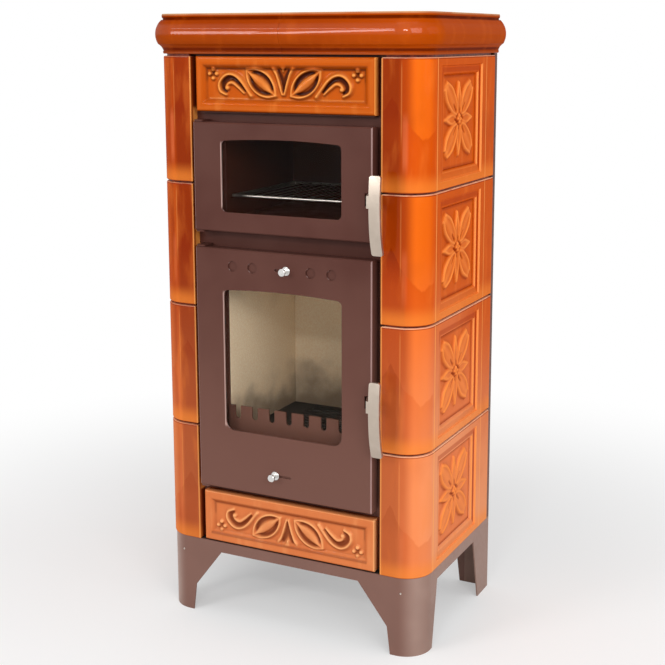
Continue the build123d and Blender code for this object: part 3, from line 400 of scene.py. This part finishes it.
# Darker lines in the cove and the quirk: glaze pooled there and painted shade.
dark_lines = height.band(5, 7, 9.5, 12).larger(height.band(57, 60, 63, 65))
colour = crown_glaze.mix(dark_lines * 0.8, colour, srgb(84, 14, 0))
colour = run_down(crown_glaze, colour, light=srgb(200, 92, 22), dark=srgb(140, 48, 4))
colour = crown_glaze.mix(height.band(-1, 0.5, 2.5, 4) * 0.4, colour, srgb(166, 84, 44))
# Painted highlight: a broken light line along the upper edge of the lip.
top_highlight = height.rise(65.5, 70) * crown_glaze.noise(70 * mm).rise(0.3, 0.6, 0.4, 0.8)
top_highlight = top_highlight * crown_glaze.facing("Z").rise(0.9, 0.6)
crown_glaze.set("Base Color", crown_glaze.mix(top_highlight, colour, srgb(206, 166, 122)))
# The clear skin shines most on the crown's roll, and less on the sides than in front.
roll = height.band(31, 36, 48, 54) * 3.2 + 0.35
side_on = crown_glaze.facing("X").rise(0.5, 1.0, 1.0, 0.35)
crown_glaze.set("Coat Weight", crown_glaze.skin * roll * side_on * height.rise(60, 56))
crown_glaze.bump(waves(crown_glaze), mm)


def relief_glaze(name, light, middle, dark, pooled, pale=None):
    """Glaze over a relief: light on its crests, where it runs thin and where highlights are
    painted, and dark where it pools and where shade is painted.

    Where a pale colour is given, the glaze tends to it lower down.
    """
    made = glaze(name)
    colour = run_down(made, middle, light, dark)
    if pale:
        colour = made.mix(made.along("Z").rise(0.7, 0.27) * 0.75, colour, pale)
    # The thin attribute holds thin glaze and painted highlights, the pool attribute pooled glaze
    # and painted shade.
    colour = made.mix(made.attribute("thin"), colour, light)
    made.set("Base Color", made.mix(made.attribute("pool"), colour, pooled))
    made.bump(waves(made), mm)
    return made


upper_relief_glaze = relief_glaze(
    "upper_relief_glaze", light=srgb(244, 160, 78), middle=srgb(186, 82, 12),
    dark=srgb(164, 60, 4), pooled=srgb(46, 8, 0))
lower_relief_glaze = relief_glaze(
    "lower_relief_glaze", light=srgb(250, 178, 116), middle=srgb(214, 120, 68),
    dark=srgb(190, 94, 48), pooled=srgb(92, 26, 6))
rosette_glaze = relief_glaze(
    "rosette_glaze", light=srgb(250, 146, 68), middle=srgb(208, 88, 16),
    dark=srgb(190, 72, 10), pooled=srgb(118, 26, 0), pale=srgb(236, 138, 88))

# ------------------------------------------------------------------ other finishes
cord_finish = Finish("joint_cord", Roughness=0.4, Specular_IOR_Level=0.2)
cord_finish.set("Base Color", cord_finish.mix(cord_finish.noise(9 * mm).rise(0.3, 0.7),
                                              srgb(78, 22, 8), srgb(128, 46, 26)))


def painted(made, colour, least, most):
    """Give a sprayed stove paint its colour, its uneven sheen and its fine grain."""
    made.set("Base Color", colour)
    made.set("Roughness", made.noise(9 * mm).rise(0.2, 0.8, least, most))
    made.bump(made.noise(1.1 * mm), 0.08 * mm)


def brown_paint(name):
    """Matt brown stove paint, a little darker higher up, as painted shade above and painted light
    below.
    """
    made = Finish(name, Roughness=0.42, Specular_IOR_Level=0.12)
    colour = made.stops(made.along("Z"), (0.25, srgb(110, 75, 65)), (0.8, srgb(78, 43, 36)))
    blotches = made.noise(120 * mm).rise(0.3, 0.7)
    made.brown = made.mix(blotches * 0.2, colour, srgb(116, 80, 70))
    painted(made, made.brown, 0.38, 0.5)
    return made


def window_edge(made, door):
    """1 along the left edge of a door's window, away from its corners."""
    low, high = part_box(f"{door}_door_glass")
    # The pane reaches past the window by this much on every side.
    lap = 8 * mm
    left = low.x + lap
    foot = low.z + lap
    top = high.z - lap
    beside = made.along("X").band(left - 1.6 * mm, left - 0.9 * mm, left + 3 * mm, left + 4 * mm)
    upright = made.along("Z").band(foot + 4 * mm, foot + 12 * mm, top - 12 * mm, top - 4 * mm)
    return beside * upright


paint = brown_paint("brown_paint")
# Painted highlights: the doors' bevels and the cut edges of their windows are brighter.
door_paint = brown_paint("door_paint")
bevel = door_paint.facing("X").band(0.45, 0.65, 0.78, 0.92)
colour = door_paint.mix(bevel * 0.7, door_paint.brown, srgb(172, 142, 138))
cut_edge_highlight = largest(window_edge(door_paint, "oven"), window_edge(door_paint, "fire"))
door_paint.set("Base Color", door_paint.mix(cut_edge_highlight * 0.65, colour, srgb(214, 180, 170)))

base_paint = Finish("base_paint", Roughness=0.4, Specular_IOR_Level=0.25)
# Painted sheen: the skirt is lighter on its rounds and side than on its front.
turn = turn_about_round(base_paint.along("X"), base_paint.along("Y"))
colour = base_paint.stops(turn, (5, srgb(126, 91, 80)), (48, srgb(166, 137, 125)),
                          (90, srgb(150, 118, 105)))
blotches = base_paint.noise(90 * mm).rise(0.35, 0.7)
colour = base_paint.mix(blotches * 0.3, colour, srgb(112, 80, 70))
painted(base_paint, colour, 0.36, 0.46)

black = Finish("black_paint", Roughness=0.6)
black.mottle(30 * mm, srgb(24, 22, 21), srgb(38, 35, 33))
black.bump(black.noise(0.9 * mm), 0.1 * mm)

enamel = Finish("oven_enamel", Roughness=0.3, Specular_IOR_Level=0.3)
enamel.mottle(2 * mm, srgb(58, 24, 12), srgb(70, 32, 18))
enamel.worn(25 * mm, 0.28, 0.42)

plated = Finish("plated_steel", Metallic=1.0, Roughness=0.35)
plated.mottle(12 * mm, srgb(150, 147, 143), srgb(178, 175, 170))
plated.worn(14 * mm, 0.28, 0.45)

iron = Finish("cast_iron", Metallic=0.6, Roughness=0.7)
iron.mottle(6 * mm, srgb(38, 36, 35), srgb(62, 57, 54), detail=4.0)
iron.bump(iron.noise(1.5 * mm, detail=4.0), 0.4 * mm)

# Pale stone, darker high up, and darker at the foot of the fire, with soot and painted shadow
# there.
lining = Finish("fire_lining", Roughness=0.9)
grain = lining.noise(4 * mm, detail=4.0, roughness=0.6)
stone = lining.mix(grain.rise(0.3, 0.7), srgb(248, 226, 196), srgb(255, 240, 216))
blurred = lining.along("Z") + lining.noise(60 * mm) * 0.12
stone = lining.mix(blurred.rise(0.62, 0.8) * 0.6, stone, srgb(110, 78, 56))
lining.set("Base Color", lining.mix(blurred.rise(0.5, 0.41) * 0.75, stone, srgb(84, 62, 50)))
lining.bump(grain, 0.4 * mm)

rope = Finish("seal_rope", Roughness=0.9)
strand_pitch = 5 * mm
askew = rope.along("X") + rope.along("Y") + rope.along("Z")
strands = (askew * (2 * pi / strand_pitch)).sine().rise(-1.0, 1.0)
rope.set("Base Color", rope.mix(strands, srgb(70, 64, 58), srgb(130, 122, 112)))
rope.bump(strands, 0.8 * mm)

handle_metal = Finish("handle_nickel", Metallic=1.0, Roughness=0.36)
handle_metal.mottle(18 * mm, srgb(182, 168, 154), srgb(198, 184, 170))
handle_metal.worn(7 * mm, 0.3, 0.44, detail=3.0)
handle_metal.bump(handle_metal.noise(2 * mm), 0.05 * mm)

knob_metal = Finish("knob_nickel", Metallic=1.0, Roughness=0.2)
knob_metal.mottle(5 * mm, srgb(205, 203, 200), srgb(225, 223, 220))
knob_metal.worn(3 * mm, 0.15, 0.28)

screw_steel = Finish("screw_steel", Metallic=1.0, Roughness=0.32)
screw_steel.mottle(1.5 * mm, srgb(172, 166, 158), srgb(206, 200, 192))
screw_steel.worn(2 * mm, 0.26, 0.4)

# The index is low, so that the white room isn't mirrored over the dark oven.
glass = Finish("door_glass", Roughness=0.02, Transmission_Weight=1.0, IOR=1.1)
glass.mottle(60 * mm, srgb(246, 244, 240), srgb(252, 251, 248))
clear = glass.node("ShaderNodeBsdfTransparent", {}, {"Color": srgb(250, 248, 244)})
glass.blend_shaders(glass.ray("Shadow").larger(glass.ray("Diffuse")), clear)

finish_of_slot = {
    "glaze": corner_glaze,
    "joint_cord": cord_finish,
    "brown_paint": paint,
    "black_paint": black,
    "enamel": enamel,
    "plated_steel": plated,
    "cast_iron": iron,
    "lining": lining,
    "door_glass": glass,
    "seal_rope": rope,
    "handle_metal": handle_metal,
    "knob_metal": knob_metal,
}
for part in frame["record"]["subparts"]:
    finish_of_slot[part["material_slot"]].on(part["node"])
# Nodes that look otherwise than the rest of their slot.
crown_glaze.on("crown_left", "crown_right")
base_paint.on("base_skirt")
door_paint.on("oven_door_panel", "fire_door_panel")
paint.on("primary_air_slide")


# ------------------------------------------------------------------ modelling
def piece(work, name, finish, body):
    """Turn finished bmesh work into a piece that rides on a body."""
    bmesh.ops.recalc_face_normals(work, faces=work.faces)
    mesh = bpy.data.meshes.new(name)
    work.to_mesh(mesh)
    work.free()
    mesh.shade_smooth()
    made = bpy.data.objects.new(name, mesh)
    bpy.context.scene.collection.objects.link(made)
    finish.on(name)
    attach(made, body)
    return made


def curve_points(points, per_span=10):
    """Points on a smooth line through the given ones."""
    points = np.array(points, float)
    ends = np.vstack([2 * points[0] - points[1], points, 2 * points[-1] - points[-2]])
    found = []
    for i in range(len(points) - 1):
        a, b, c, d = ends[i:i + 4]
        t = np.linspace(0, 1, per_span, endpoint=False)[:, None]
        found.append(0.5 * (2 * b + (c - a) * t + (2 * a - 5 * b + 4 * c - d) * t ** 2
                            + (3 * b - a - 3 * c + d) * t ** 3))
    return np.vstack([*found, points[-1:]])


def distance_to(line, u, v):
    """Distance from every point (u, v) to a line of points, and its place along it."""
    best = np.full(u.shape, 1e9)
    where = np.zeros(u.shape)
    for i in range(len(line) - 1):
        a, b = line[i], line[i + 1]
        along = b - a
        t = ((u - a[0]) * along[0] + (v - a[1]) * along[1]) / max(along @ along, 1e-12)
        t = np.clip(t, 0, 1)
        gap = np.hypot(u - a[0] - t * along[0], v - a[1] - t * along[1])
        nearer = gap < best
        best[nearer] = gap[nearer]
        where[nearer] = (i + t[nearer]) / (len(line) - 1)
    return best, where


def smooth(value, start, end):
    """Smoothly from 0 to 1 as the value goes from start to end."""
    t = np.clip((value - start) / (end - start), 0, 1)
    return t * t * (3 - 2 * t)


def softened(field, times):
    """A field of heights with each place drawn towards its neighbours, so often."""
    for _ in range(times):
        wide = np.pad(field, 1, mode="edge")
        field = (wide[:-2, 1:-1] + wide[2:, 1:-1] + wide[1:-1, :-2] + wide[1:-1, 2:]
                 + 4 * wide[1:-1, 1:-1]) / 8
    return field


class Relief:
    """A grid sheet that strokes raise and hollow, in millimetres.

    The strokes' own places count from a centre that need not be the sheet's.
    """

    def __init__(self, width, height, step, centre=(0, 0)):
        self.work = bmesh.new()
        bmesh.ops.create_grid(self.work, x_segments=round(width / step),
                              y_segments=round(height / step), size=0.5,
                              matrix=Matrix.Rotation(pi / 2, 4, "X"))
        bmesh.ops.scale(self.work, vec=(width, 1, height), verts=self.work.verts)
        self.work.verts.ensure_lookup_table()
        u = np.array([vertex.co.x for vertex in self.work.verts]) / mm
        v = np.array([vertex.co.z for vertex in self.work.verts]) / mm
        # Rows of the grid from its foot up, so that neighbours lie side by side.
        across = round(width / step) + 1
        self.order = np.lexsort((np.round(u, 3), np.round(v, 3))).reshape(-1, across)
        self.u = u[self.order]
        self.v = v[self.order]
        self.from_centre = self.u - centre[0], self.v - centre[1]
        self.step = step / mm
        self.height = np.zeros(self.u.shape)
        self.pool = np.zeros(self.u.shape)
        self.bright = np.zeros(self.u.shape)

    def stroke(self, points, widths):
        """How far in from a smooth line's edge each place lies: 1 on the line itself."""
        gap, where = distance_to(curve_points(points), *self.from_centre)
        half = np.interp(where * (len(widths) - 1), range(len(widths)), widths) / 2
        return np.clip(1 - gap / np.maximum(half, 0.05), 0, 1)

    def ridge(self, points, widths, height, skirt=0.0):
        """A rounded ridge; a skirt is a wider mound that it rises from."""
        if skirt:
            mound = self.stroke(points, [width * skirt for width in widths])
            self.height = np.maximum(self.height, height * 0.6 * smooth(mound, 0, 0.8))
        share = self.stroke(points, widths)
        self.height = np.maximum(self.height, height * np.sqrt(1 - (1 - share) ** 2))
        self.pool *= 1 - smooth(share, 0, 0.5)

    def hollow(self, points, widths, depth=0.0, pooled=1.0):
        """A soft groove down to this depth, with glaze pooled and shade painted in it."""
        share = smooth(self.stroke(points, widths), 0, 0.7)
        self.height = self.height * (1 - share) - depth * share
        self.pool = np.maximum(self.pool, share * pooled)

    def dome(self, u, v, radius, height):
        """A round bead."""
        across, up = self.from_centre
        share = np.clip(1 - np.hypot(across - u, up - v) / radius, 0, 1)
        self.height = np.maximum(self.height, height * np.sqrt(1 - (1 - share) ** 2))
        self.pool *= 1 - smooth(share, 0, 0.3)

    def fired(self, pool_depth, pool_most, thin_most, spread, up=1):
        """Soften the clay, let the glaze pool in hollows and thin on crests, and paint shade under
        what faces down and light on what faces up.

        The spread says, in square millimetres, how wide around itself a place is
        compared; up is -1 for a sheet that is turned upside down.
        """
        self.height = softened(self.height, 2)
        around = softened(self.height, round(spread / self.step ** 2))
        low = np.clip((around - self.height) / pool_depth, 0, 1)
        high = np.clip((self.height - around) / pool_depth, 0, 1)
        # Painted shade under what faces down, and painted light on what faces up.
        facing_down = np.gradient(self.height, axis=0) / self.step * up
        pool = softened(self.pool, 2) * 0.85 + low * 0.2 + np.clip(facing_down, 0, 1) * 0.5
        pool = np.clip(pool, 0, 1) * pool_most
        thin = np.clip(high + np.clip(-facing_down, 0, 1) * 0.2 + self.bright, 0, 1)
        thin = thin * thin_most * (1 - pool)
        # The pool layer holds pooled glaze and painted shade, the thin layer thin glaze and
        # painted light.
        pool_layer = self.work.verts.layers.float.new("pool")
        thin_layer = self.work.verts.layers.float.new("thin")
        verts = self.work.verts
        for index, rise, deep, light in zip(self.order.ravel(), self.height.ravel(),
                                            pool.ravel(), thin.ravel()):
            vertex = verts[int(index)]
            vertex.co.y -= rise * mm
            vertex[pool_layer] = deep
            vertex[thin_layer] = light

    def backed(self, back):
        """Close the sheet: its outline runs back to this depth, and a face shuts it."""
        rim = [edge for edge in self.work.edges if edge.is_boundary]
        sides = bmesh.ops.extrude_edge_only(self.work, edges=rim)["geom"]
        for item in sides:
            if isinstance(item, bmesh.types.BMVert):
                item.co.y = back
        far = [item for item in sides if isinstance(item, bmesh.types.BMEdge) and item.is_boundary]
        bmesh.ops.contextual_create(self.work, geom=far)
        return self.work


# ------------------------------------------------------------------ relief tiles
def leaf_line(side, offset, reach):
    """A bowed line along a leaf of the relief tile, this far off its middle line."""
    middle = np.array((43.6, 2.6))
    along = np.array((0.797, 0.603))
    across = np.array((-0.603, 0.797))
    line = []
    for t in (-1, -0.7, -0.35, 0, 0.35, 0.7, 1):
        u, v = middle + along * reach * t + across * offset * (1 - t * t) ** 0.8
        line.append((side * u, v))
    return line


def mirrored(side, *points):
    """The points themselves for side 1, and their mirror image for side -1."""
    return [(side * u, v) for u, v in points]


def relief_tile(name, node, finish, turned, pool_most):
    """The front relief tile: raised border, leaves, scrolls, centre bud and beads.

    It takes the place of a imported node; the turned one stands upside down.
    """
    low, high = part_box(node)
    width = high.x - low.x
    height = high.z - low.z
    tile = Relief(width, height, step=1.0 * mm)
    to_side = width / mm / 2 - np.abs(tile.u)
    to_end = height / mm / 2 - np.abs(tile.v)
    for side in (-1, 1):
        scroll = mirrored(side, (64, -19), (76, -3.5), (85.5, 7), (96.5, 14.5), (108.5, 16.6),
                          (120, 11.5), (128, 0), (126, -12), (115, -18))
        scroll_hollow = mirrored(side, (75.5, -12), (87, 0.2), (98, 8.2), (109, 9.8),
                                 (119, 1.8), (120.2, -7), (114.2, -13))
        inner_scroll = mirrored(side, (78, -15.5), (90.5, -4.4), (101, 2.4), (109.5, 0.4),
                                (113.5, -5))
        tile.ridge(scroll, (8, 8, 8, 7, 7, 7, 7, 6, 5), 5.0, skirt=2.2)
        tile.hollow(scroll_hollow, (4, 9, 12, 13, 13, 12, 6), depth=0.3)
        tile.ridge(inner_scroll, (4, 7, 8, 7, 6), 4.4, skirt=1.6)
        tile.dome(side * 111.8, -6.5, 5.2, 5.0)
        for offset in (18, -18.5):
            edge = leaf_line(side, offset, 36)
            tile.ridge(edge, (5, 6, 6.5, 6.5, 6.5, 6, 5), 5.0, skirt=2.0)
        for offset in (12.8, -13.2):
            groove = leaf_line(side, offset, 28)
            tile.hollow(groove, (3, 8, 10.5, 11, 10.5, 8, 3), depth=0.3)
        tile.ridge(leaf_line(side, 0, 33), (4, 9, 15, 17, 15, 9, 4), 4.8)
        # One side of the centre bud, then four beads and the hollow that they sit in.
        bud = mirrored(side, (19, 27), (11.5, 15.5), (6.5, -1), (2, -17))
        tile.ridge(bud, (7, 8, 7, 4), 5.0, skirt=2.0)
        tile.hollow(mirrored(side, (137, 17.6), (144.6, 17.6)), (15, 15), pooled=0.7)
        for du, dv in ((-7, 0), (7, 0), (0, 7.6), (0, -7.6)):
            tile.dome(side * 140.8 + du, 17.6 + dv, 4.6, 4.6)
    for side in (-1, 1):
        bud_hollow = mirrored(side, (9.5, 24), (4.5, 14), (1, 3), (0, -12))
        tile.hollow(bud_hollow, (9, 13, 12, 4), depth=0.3)
    tile.ridge([(0, 31), (0, 22)], (13, 3), 4.4)
    # The field lies below the border, whose inner sides slope down to it.
    field_sunk = 6
    slope = np.maximum(smooth(to_side, 21.5, 12.5), smooth(to_end, 22.5, 13.5))
    tile.height = np.minimum(tile.height - field_sunk, 0) * (1 - slope)
    foot = np.maximum(smooth(to_side, 24, 21), smooth(to_end, 25, 22))
    foot = foot * (1 - smooth(slope, 0, 0.4))
    # Right and upright count on the tile as it is placed.
    right, upright = (-tile.u, -tile.v) if turned else (tile.u, tile.v)
    # Painted shade at the foot of the border's slopes, heavier under the upper border.
    tile.pool = np.maximum(tile.pool * (1 - slope), foot * (0.2 + 0.4 * smooth(upright, 0, 10)))
    # Painted highlights on the right-hand edge, along the border's middle and, on the upper tile,
    # along the inner lower edge; painted shade on the border's slopes and, on the turned tile, a
    # dark line inside its lower border.
    tile.bright = smooth(right, width / mm / 2 - 2.8, width / mm / 2 - 1.2) * 1.5
    near = np.minimum(to_side, to_end)
    middle = smooth(near, 2, 5) * smooth(near, 13, 9)
    if turned:
        tile.bright += smooth(to_end, 3.2, 1.8) * (upright > 0) * 0.5 - slope * 0.35 + middle * 0.3
        crease = smooth(to_end, 18, 16) * smooth(to_end, 12, 14) * (upright < 0)
        tile.pool = np.maximum(tile.pool, crease * (to_side > 14) * 0.8)
    else:
        inner = smooth(to_end, 21.5, 23) * smooth(to_end, 25.5, 24) * (to_side > 24)
        tile.bright += middle * 0.6 - slope * 0.6 + inner * (upright < 0) * 0.35
    rounded = 2.5
    edge = np.clip((rounded - near) / rounded, 0, 1)
    tile.height -= rounded * (1 - np.sqrt(np.clip(1 - edge ** 2, 0, 1)))
    if turned:
        bmesh.ops.rotate(tile.work, verts=tile.work.verts, cent=(0, 0, 0),
                         matrix=Matrix.Rotation(pi, 3, "Y"))
    tile.fired(pool_depth=2.4, pool_most=pool_most, thin_most=0.85, spread=60,
               up=-1 if turned else 1)
    work = tile.backed(high.y - low.y)
    bmesh.ops.translate(work, verts=work.verts,
                        vec=((low.x + high.x) / 2, low.y, (low.z + high.z) / 2))
    made = piece(work, name, finish, "stove")
    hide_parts(node)


relief_tile("relief_top", "relief_tile_top", upper_relief_glaze, turned=False, pool_most=1.0)
relief_tile("relief_bottom", "relief_tile_bottom", lower_relief_glaze, turned=True, pool_most=0.85)

# ------------------------------------------------------------------ rosettes
panel_size = 160.6 * mm
# The rosette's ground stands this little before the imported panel.
skin = 0.4 * mm


def rosette(side, course):
    """A raised four-petalled flower on the sunk panel of one corner tile."""
    hand = "right" if side > 0 else "left"
    low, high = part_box(f"corner_tile_{hand}_{course}")
    # Seen from outside, the flower stands a little off the panel's middle.
    panel = Relief(panel_size, panel_size, step=1.4 * mm, centre=(side * -6.5, 4))
    for du in (-1, 1):
        for dv in (-1, 1):
            # A petal: its body, then the rims on both sides of it.
            middle = [(du * 10, dv * 10), (du * 32, dv * 32), (du * 54, dv * 53)]
            inner = [(du * 7, dv * 10), (du * 14, dv * 31), (du * 31, dv * 52), (du * 53, dv * 63)]
            outer = [(du * 10, dv * 7), (du * 32, dv * 14), (du * 54, dv * 31), (du * 64, dv * 51)]
            panel.ridge(middle, (14, 36, 24), 4.0)
            panel.ridge(inner, (7, 10, 11, 8), 4.8)
            panel.ridge(outer, (7, 10, 11, 8), 4.8)
            panel.hollow([(du * 14, dv * 14), (du * 26, dv * 26)], (6, 3), depth=-1.4,
                         pooled=0.35)
    # Narrow leaves between the petals, each with a rim on both sides.
    for du, dv in ((0, 1), (0, -1), (1, 0), (-1, 0)):
        panel.ridge([(du * 10, dv * 10), (du * 36, dv * 36), (du * 62, dv * 62)], (6, 20, 8), 3.4)
        for way in (-1, 1):
            aside = (du == 0) * way * 7, (dv == 0) * way * 7
            panel.ridge([(du * 9, dv * 9), (du * 34 + aside[0], dv * 34 + aside[1]),
                         (du * 63, dv * 63)], (5, 9, 6), 4.4)
        panel.hollow([(du * 11 + dv * 3, dv * 11 + du * 3), (du * 20, dv * 20)], (7, 3),
                     depth=-1.2, pooled=0.5)
    # The heart: four beads in a hollow.
    panel.hollow([(-5, 0), (5, 0)], (24, 24), pooled=0.6)
    for u, v in ((-5.29, 0), (5.29, 0), (0, 5.52), (0, -5.52)):
        panel.dome(u, v, 5.2, 6.4)
    to_rim = panel_size / mm / 2 - np.maximum(np.abs(panel.u), np.abs(panel.v))
    # Glaze pooled and painted shade along the panel's rim, in the corner of the sunk panel.
    panel.pool = np.maximum(panel.pool, smooth(to_rim, 7, 1) * 0.6)
    panel.bright = np.clip(panel.height / 4, 0, 1) * 0.4
    panel.fired(pool_depth=1.8, pool_most=1.0, thin_most=0.8, spread=160)
    work = panel.backed(skin - 0.05 * mm)
    bmesh.ops.rotate(work, verts=work.verts, cent=(0, 0, 0),
                     matrix=Matrix.Rotation(side * pi / 2, 3, "Z"))
    bmesh.ops.translate(work, verts=work.verts, vec=(side * (mantle_half - panel_sunk + skin),
                                                     tile_face + panel_middle,
                                                     (low.z + high.z) / 2))
    piece(work, f"rosette_{hand}_{course}", rosette_glaze, "stove")


for course in range(1, 5):
    for side in (1, -1):
        rosette(side, course)


# ------------------------------------------------------------------ screws
def screw(name, place, turned, radius):
    """A round-headed socket screw; its head stands on a face with this bearing in radians."""
    work = bmesh.new()
    head = radius * 0.5
    sides = 24
    bmesh.ops.create_cone(work, cap_ends=True, segments=sides, radius1=radius, radius2=radius,
                          depth=head, matrix=Matrix.Translation((0, 0, head / 2)))
    rim = [edge for edge in work.edges if all(vertex.co.z > head * 0.9 for vertex in edge.verts)]
    bmesh.ops.bevel(work, geom=rim, offset=head * 0.6, segments=4, profile=0.5, affect="EDGES",
                    material=-1)
    top = max(work.faces, key=lambda face: (face.calc_center_median().z, face.calc_area()))
    bmesh.ops.inset_individual(work, faces=[top], thickness=radius * 0.25)
    bmesh.ops.extrude_discrete_faces(work, faces=[top])
    level = [face for face in work.faces if face.normal.z > 0.9 and len(face.verts) == sides]
    socket = min(level, key=lambda face: face.calc_area())
    bmesh.ops.translate(work, verts=socket.verts, vec=(0, 0, -head * 0.6))
    bmesh.ops.rotate(work, verts=work.verts, cent=(0, 0, 0),
                     matrix=Matrix.Rotation(pi / 2, 3, "X"))
    bmesh.ops.rotate(work, verts=work.verts, cent=(0, 0, 0),
                     matrix=Matrix.Rotation(turned, 3, "Z"))
    bmesh.ops.translate(work, verts=work.verts, vec=place)
    piece(work, name, screw_steel, "stove")


casing_low, casing_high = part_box("rear_casing")
from_side = 7 * mm
from_end = 14 * mm
heights = np.linspace(casing_low.z + from_end, casing_high.z - from_end, 5)
for column, across in enumerate((casing_low.x + from_side, casing_high.x - from_side), 1):
    for row, up in enumerate(heights, 1):
        screw(f"casing_screw_{column}_{row}", (across, casing_high.y, up), pi, 4 * mm)
# One small screw in each front leg, on the round of the skirt.
skirt_low, skirt_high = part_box("base_skirt")
skirt_round = skirt_high.x - round_x
leg_screw_height = 118 * mm
leg_screw_bearing = 0.21
for hand, side in (("left", -1), ("right", 1)):
    place = (side * (round_x + skirt_round * np.sin(leg_screw_bearing)),
             skirt_low.y + skirt_round * (1 - np.cos(leg_screw_bearing)), leg_screw_height)
    screw(f"leg_screw_{hand}", place, side * leg_screw_bearing, 1.7 * mm)

# ------------------------------------------------------------------ studio
floor_work = bmesh.new()
floor_radius = 14
bmesh.ops.create_circle(floor_work, cap_ends=True, segments=96, radius=floor_radius)
floor_mesh = bpy.data.meshes.new("studio_floor")
floor_work.to_mesh(floor_mesh)
floor_work.free()
floor = bpy.data.objects.new("studio_floor", floor_mesh)
bpy.context.scene.collection.objects.link(floor)
floor_finish = Finish("studio_floor", Roughness=0.9, Specular_IOR_Level=0.1)
floor_finish.set("Base Color", srgb(246, 246, 246))
x = floor_finish.along("X")
y = floor_finish.along("Y")
away = (x * x + y * y) ** 0.5
# Away from the stove the floor fades into the white room.
white = floor_finish.node("ShaderNodeEmission", {}, {"Color": (1, 1, 1, 1), "Strength": 1.0})
floor_finish.blend_shaders(away.rise(0.5, 1.6, 0.35, 1.0) * floor_finish.seen(), white)
floor_finish.on("studio_floor")

world = bpy.data.worlds.new("studio")
bpy.context.scene.world = world
air = Tree(world)
background = air.nodes["Background"]
air.put(background.inputs["Color"], (1, 1, 1, 1))
# The room looks white, and lights the stove half as strongly.
air.put(background.inputs["Strength"], air.seen().rise(0.0, 1.0, 0.5, 1.0))


def lamp(name, place, target, size, power, tilt=0):
    """A soft box that looks at a point, turned about that line by some degrees."""
    data = bpy.data.lights.new(name, "AREA")
    data.shape = "RECTANGLE"
    data.size, data.size_y = size
    data.energy = power
    made = bpy.data.objects.new(name, data)
    bpy.context.scene.collection.objects.link(made)
    made.location = place
    facing = (Vector(target) - Vector(place)).to_track_quat("-Z", "Y").to_matrix()
    made.rotation_euler = (facing @ Matrix.Rotation(tilt * pi / 180, 3, "Z")).to_euler()


lamp("key_box", (2.3, -2.4, 2.0), (0, 0, 0.5), (1.8, 1.5), power=38)
lamp("right_box", (2.8, 0.2, 1.6), (0.2, 0, 0.6), (1.8, 1.6), power=14)
lamp("top_box", (0.2, -0.6, 2.8), (0, 0, 1.0), (1.6, 1.2), power=8)
# Narrower lamps that also draw the highlights along the crown.
lamp("left_strip", (-1.61, -2.4, 1.38), (-0.15, -0.2, 1.09), (0.44, 0.64), power=9)
lamp("middle_strip", (-1.05, -2.4, 1.56), (0.05, -0.2, 1.09), (0.96, 0.24), power=9, tilt=62)
lamp("upper_strip", (-1.35, -2.3, 2.3), (-0.05, -0.2, 1.09), (0.96, 0.06), power=2.5)
lamp("corner_lamp", (0.62, -2.65, 1.95), (0.2, -0.2, 1.09), (0.5, 0.17), power=10)

camera_data = bpy.data.cameras.new("camera")
camera = bpy.data.objects.new("camera", camera_data)
bpy.context.scene.collection.objects.link(camera)
bpy.context.scene.camera = camera
camera_yaw = 0.4575
camera_pitch = 0.1725
camera_roll = 0.0012
camera.location = (1.04864, -2.06058, 1.07748)
camera.rotation_euler = (Matrix.Rotation(camera_yaw, 3, "Z")
                         @ Matrix.Rotation(pi / 2 - camera_pitch, 3, "X")
                         @ Matrix.Rotation(-camera_roll, 3, "Z")).to_euler()
camera_data.sensor_width = 36.0
camera_data.lens = 67.69
camera_data.shift_x = -0.0209
camera_data.shift_y = -0.1155

bpy.context.scene.view_settings.view_transform = "Standard"
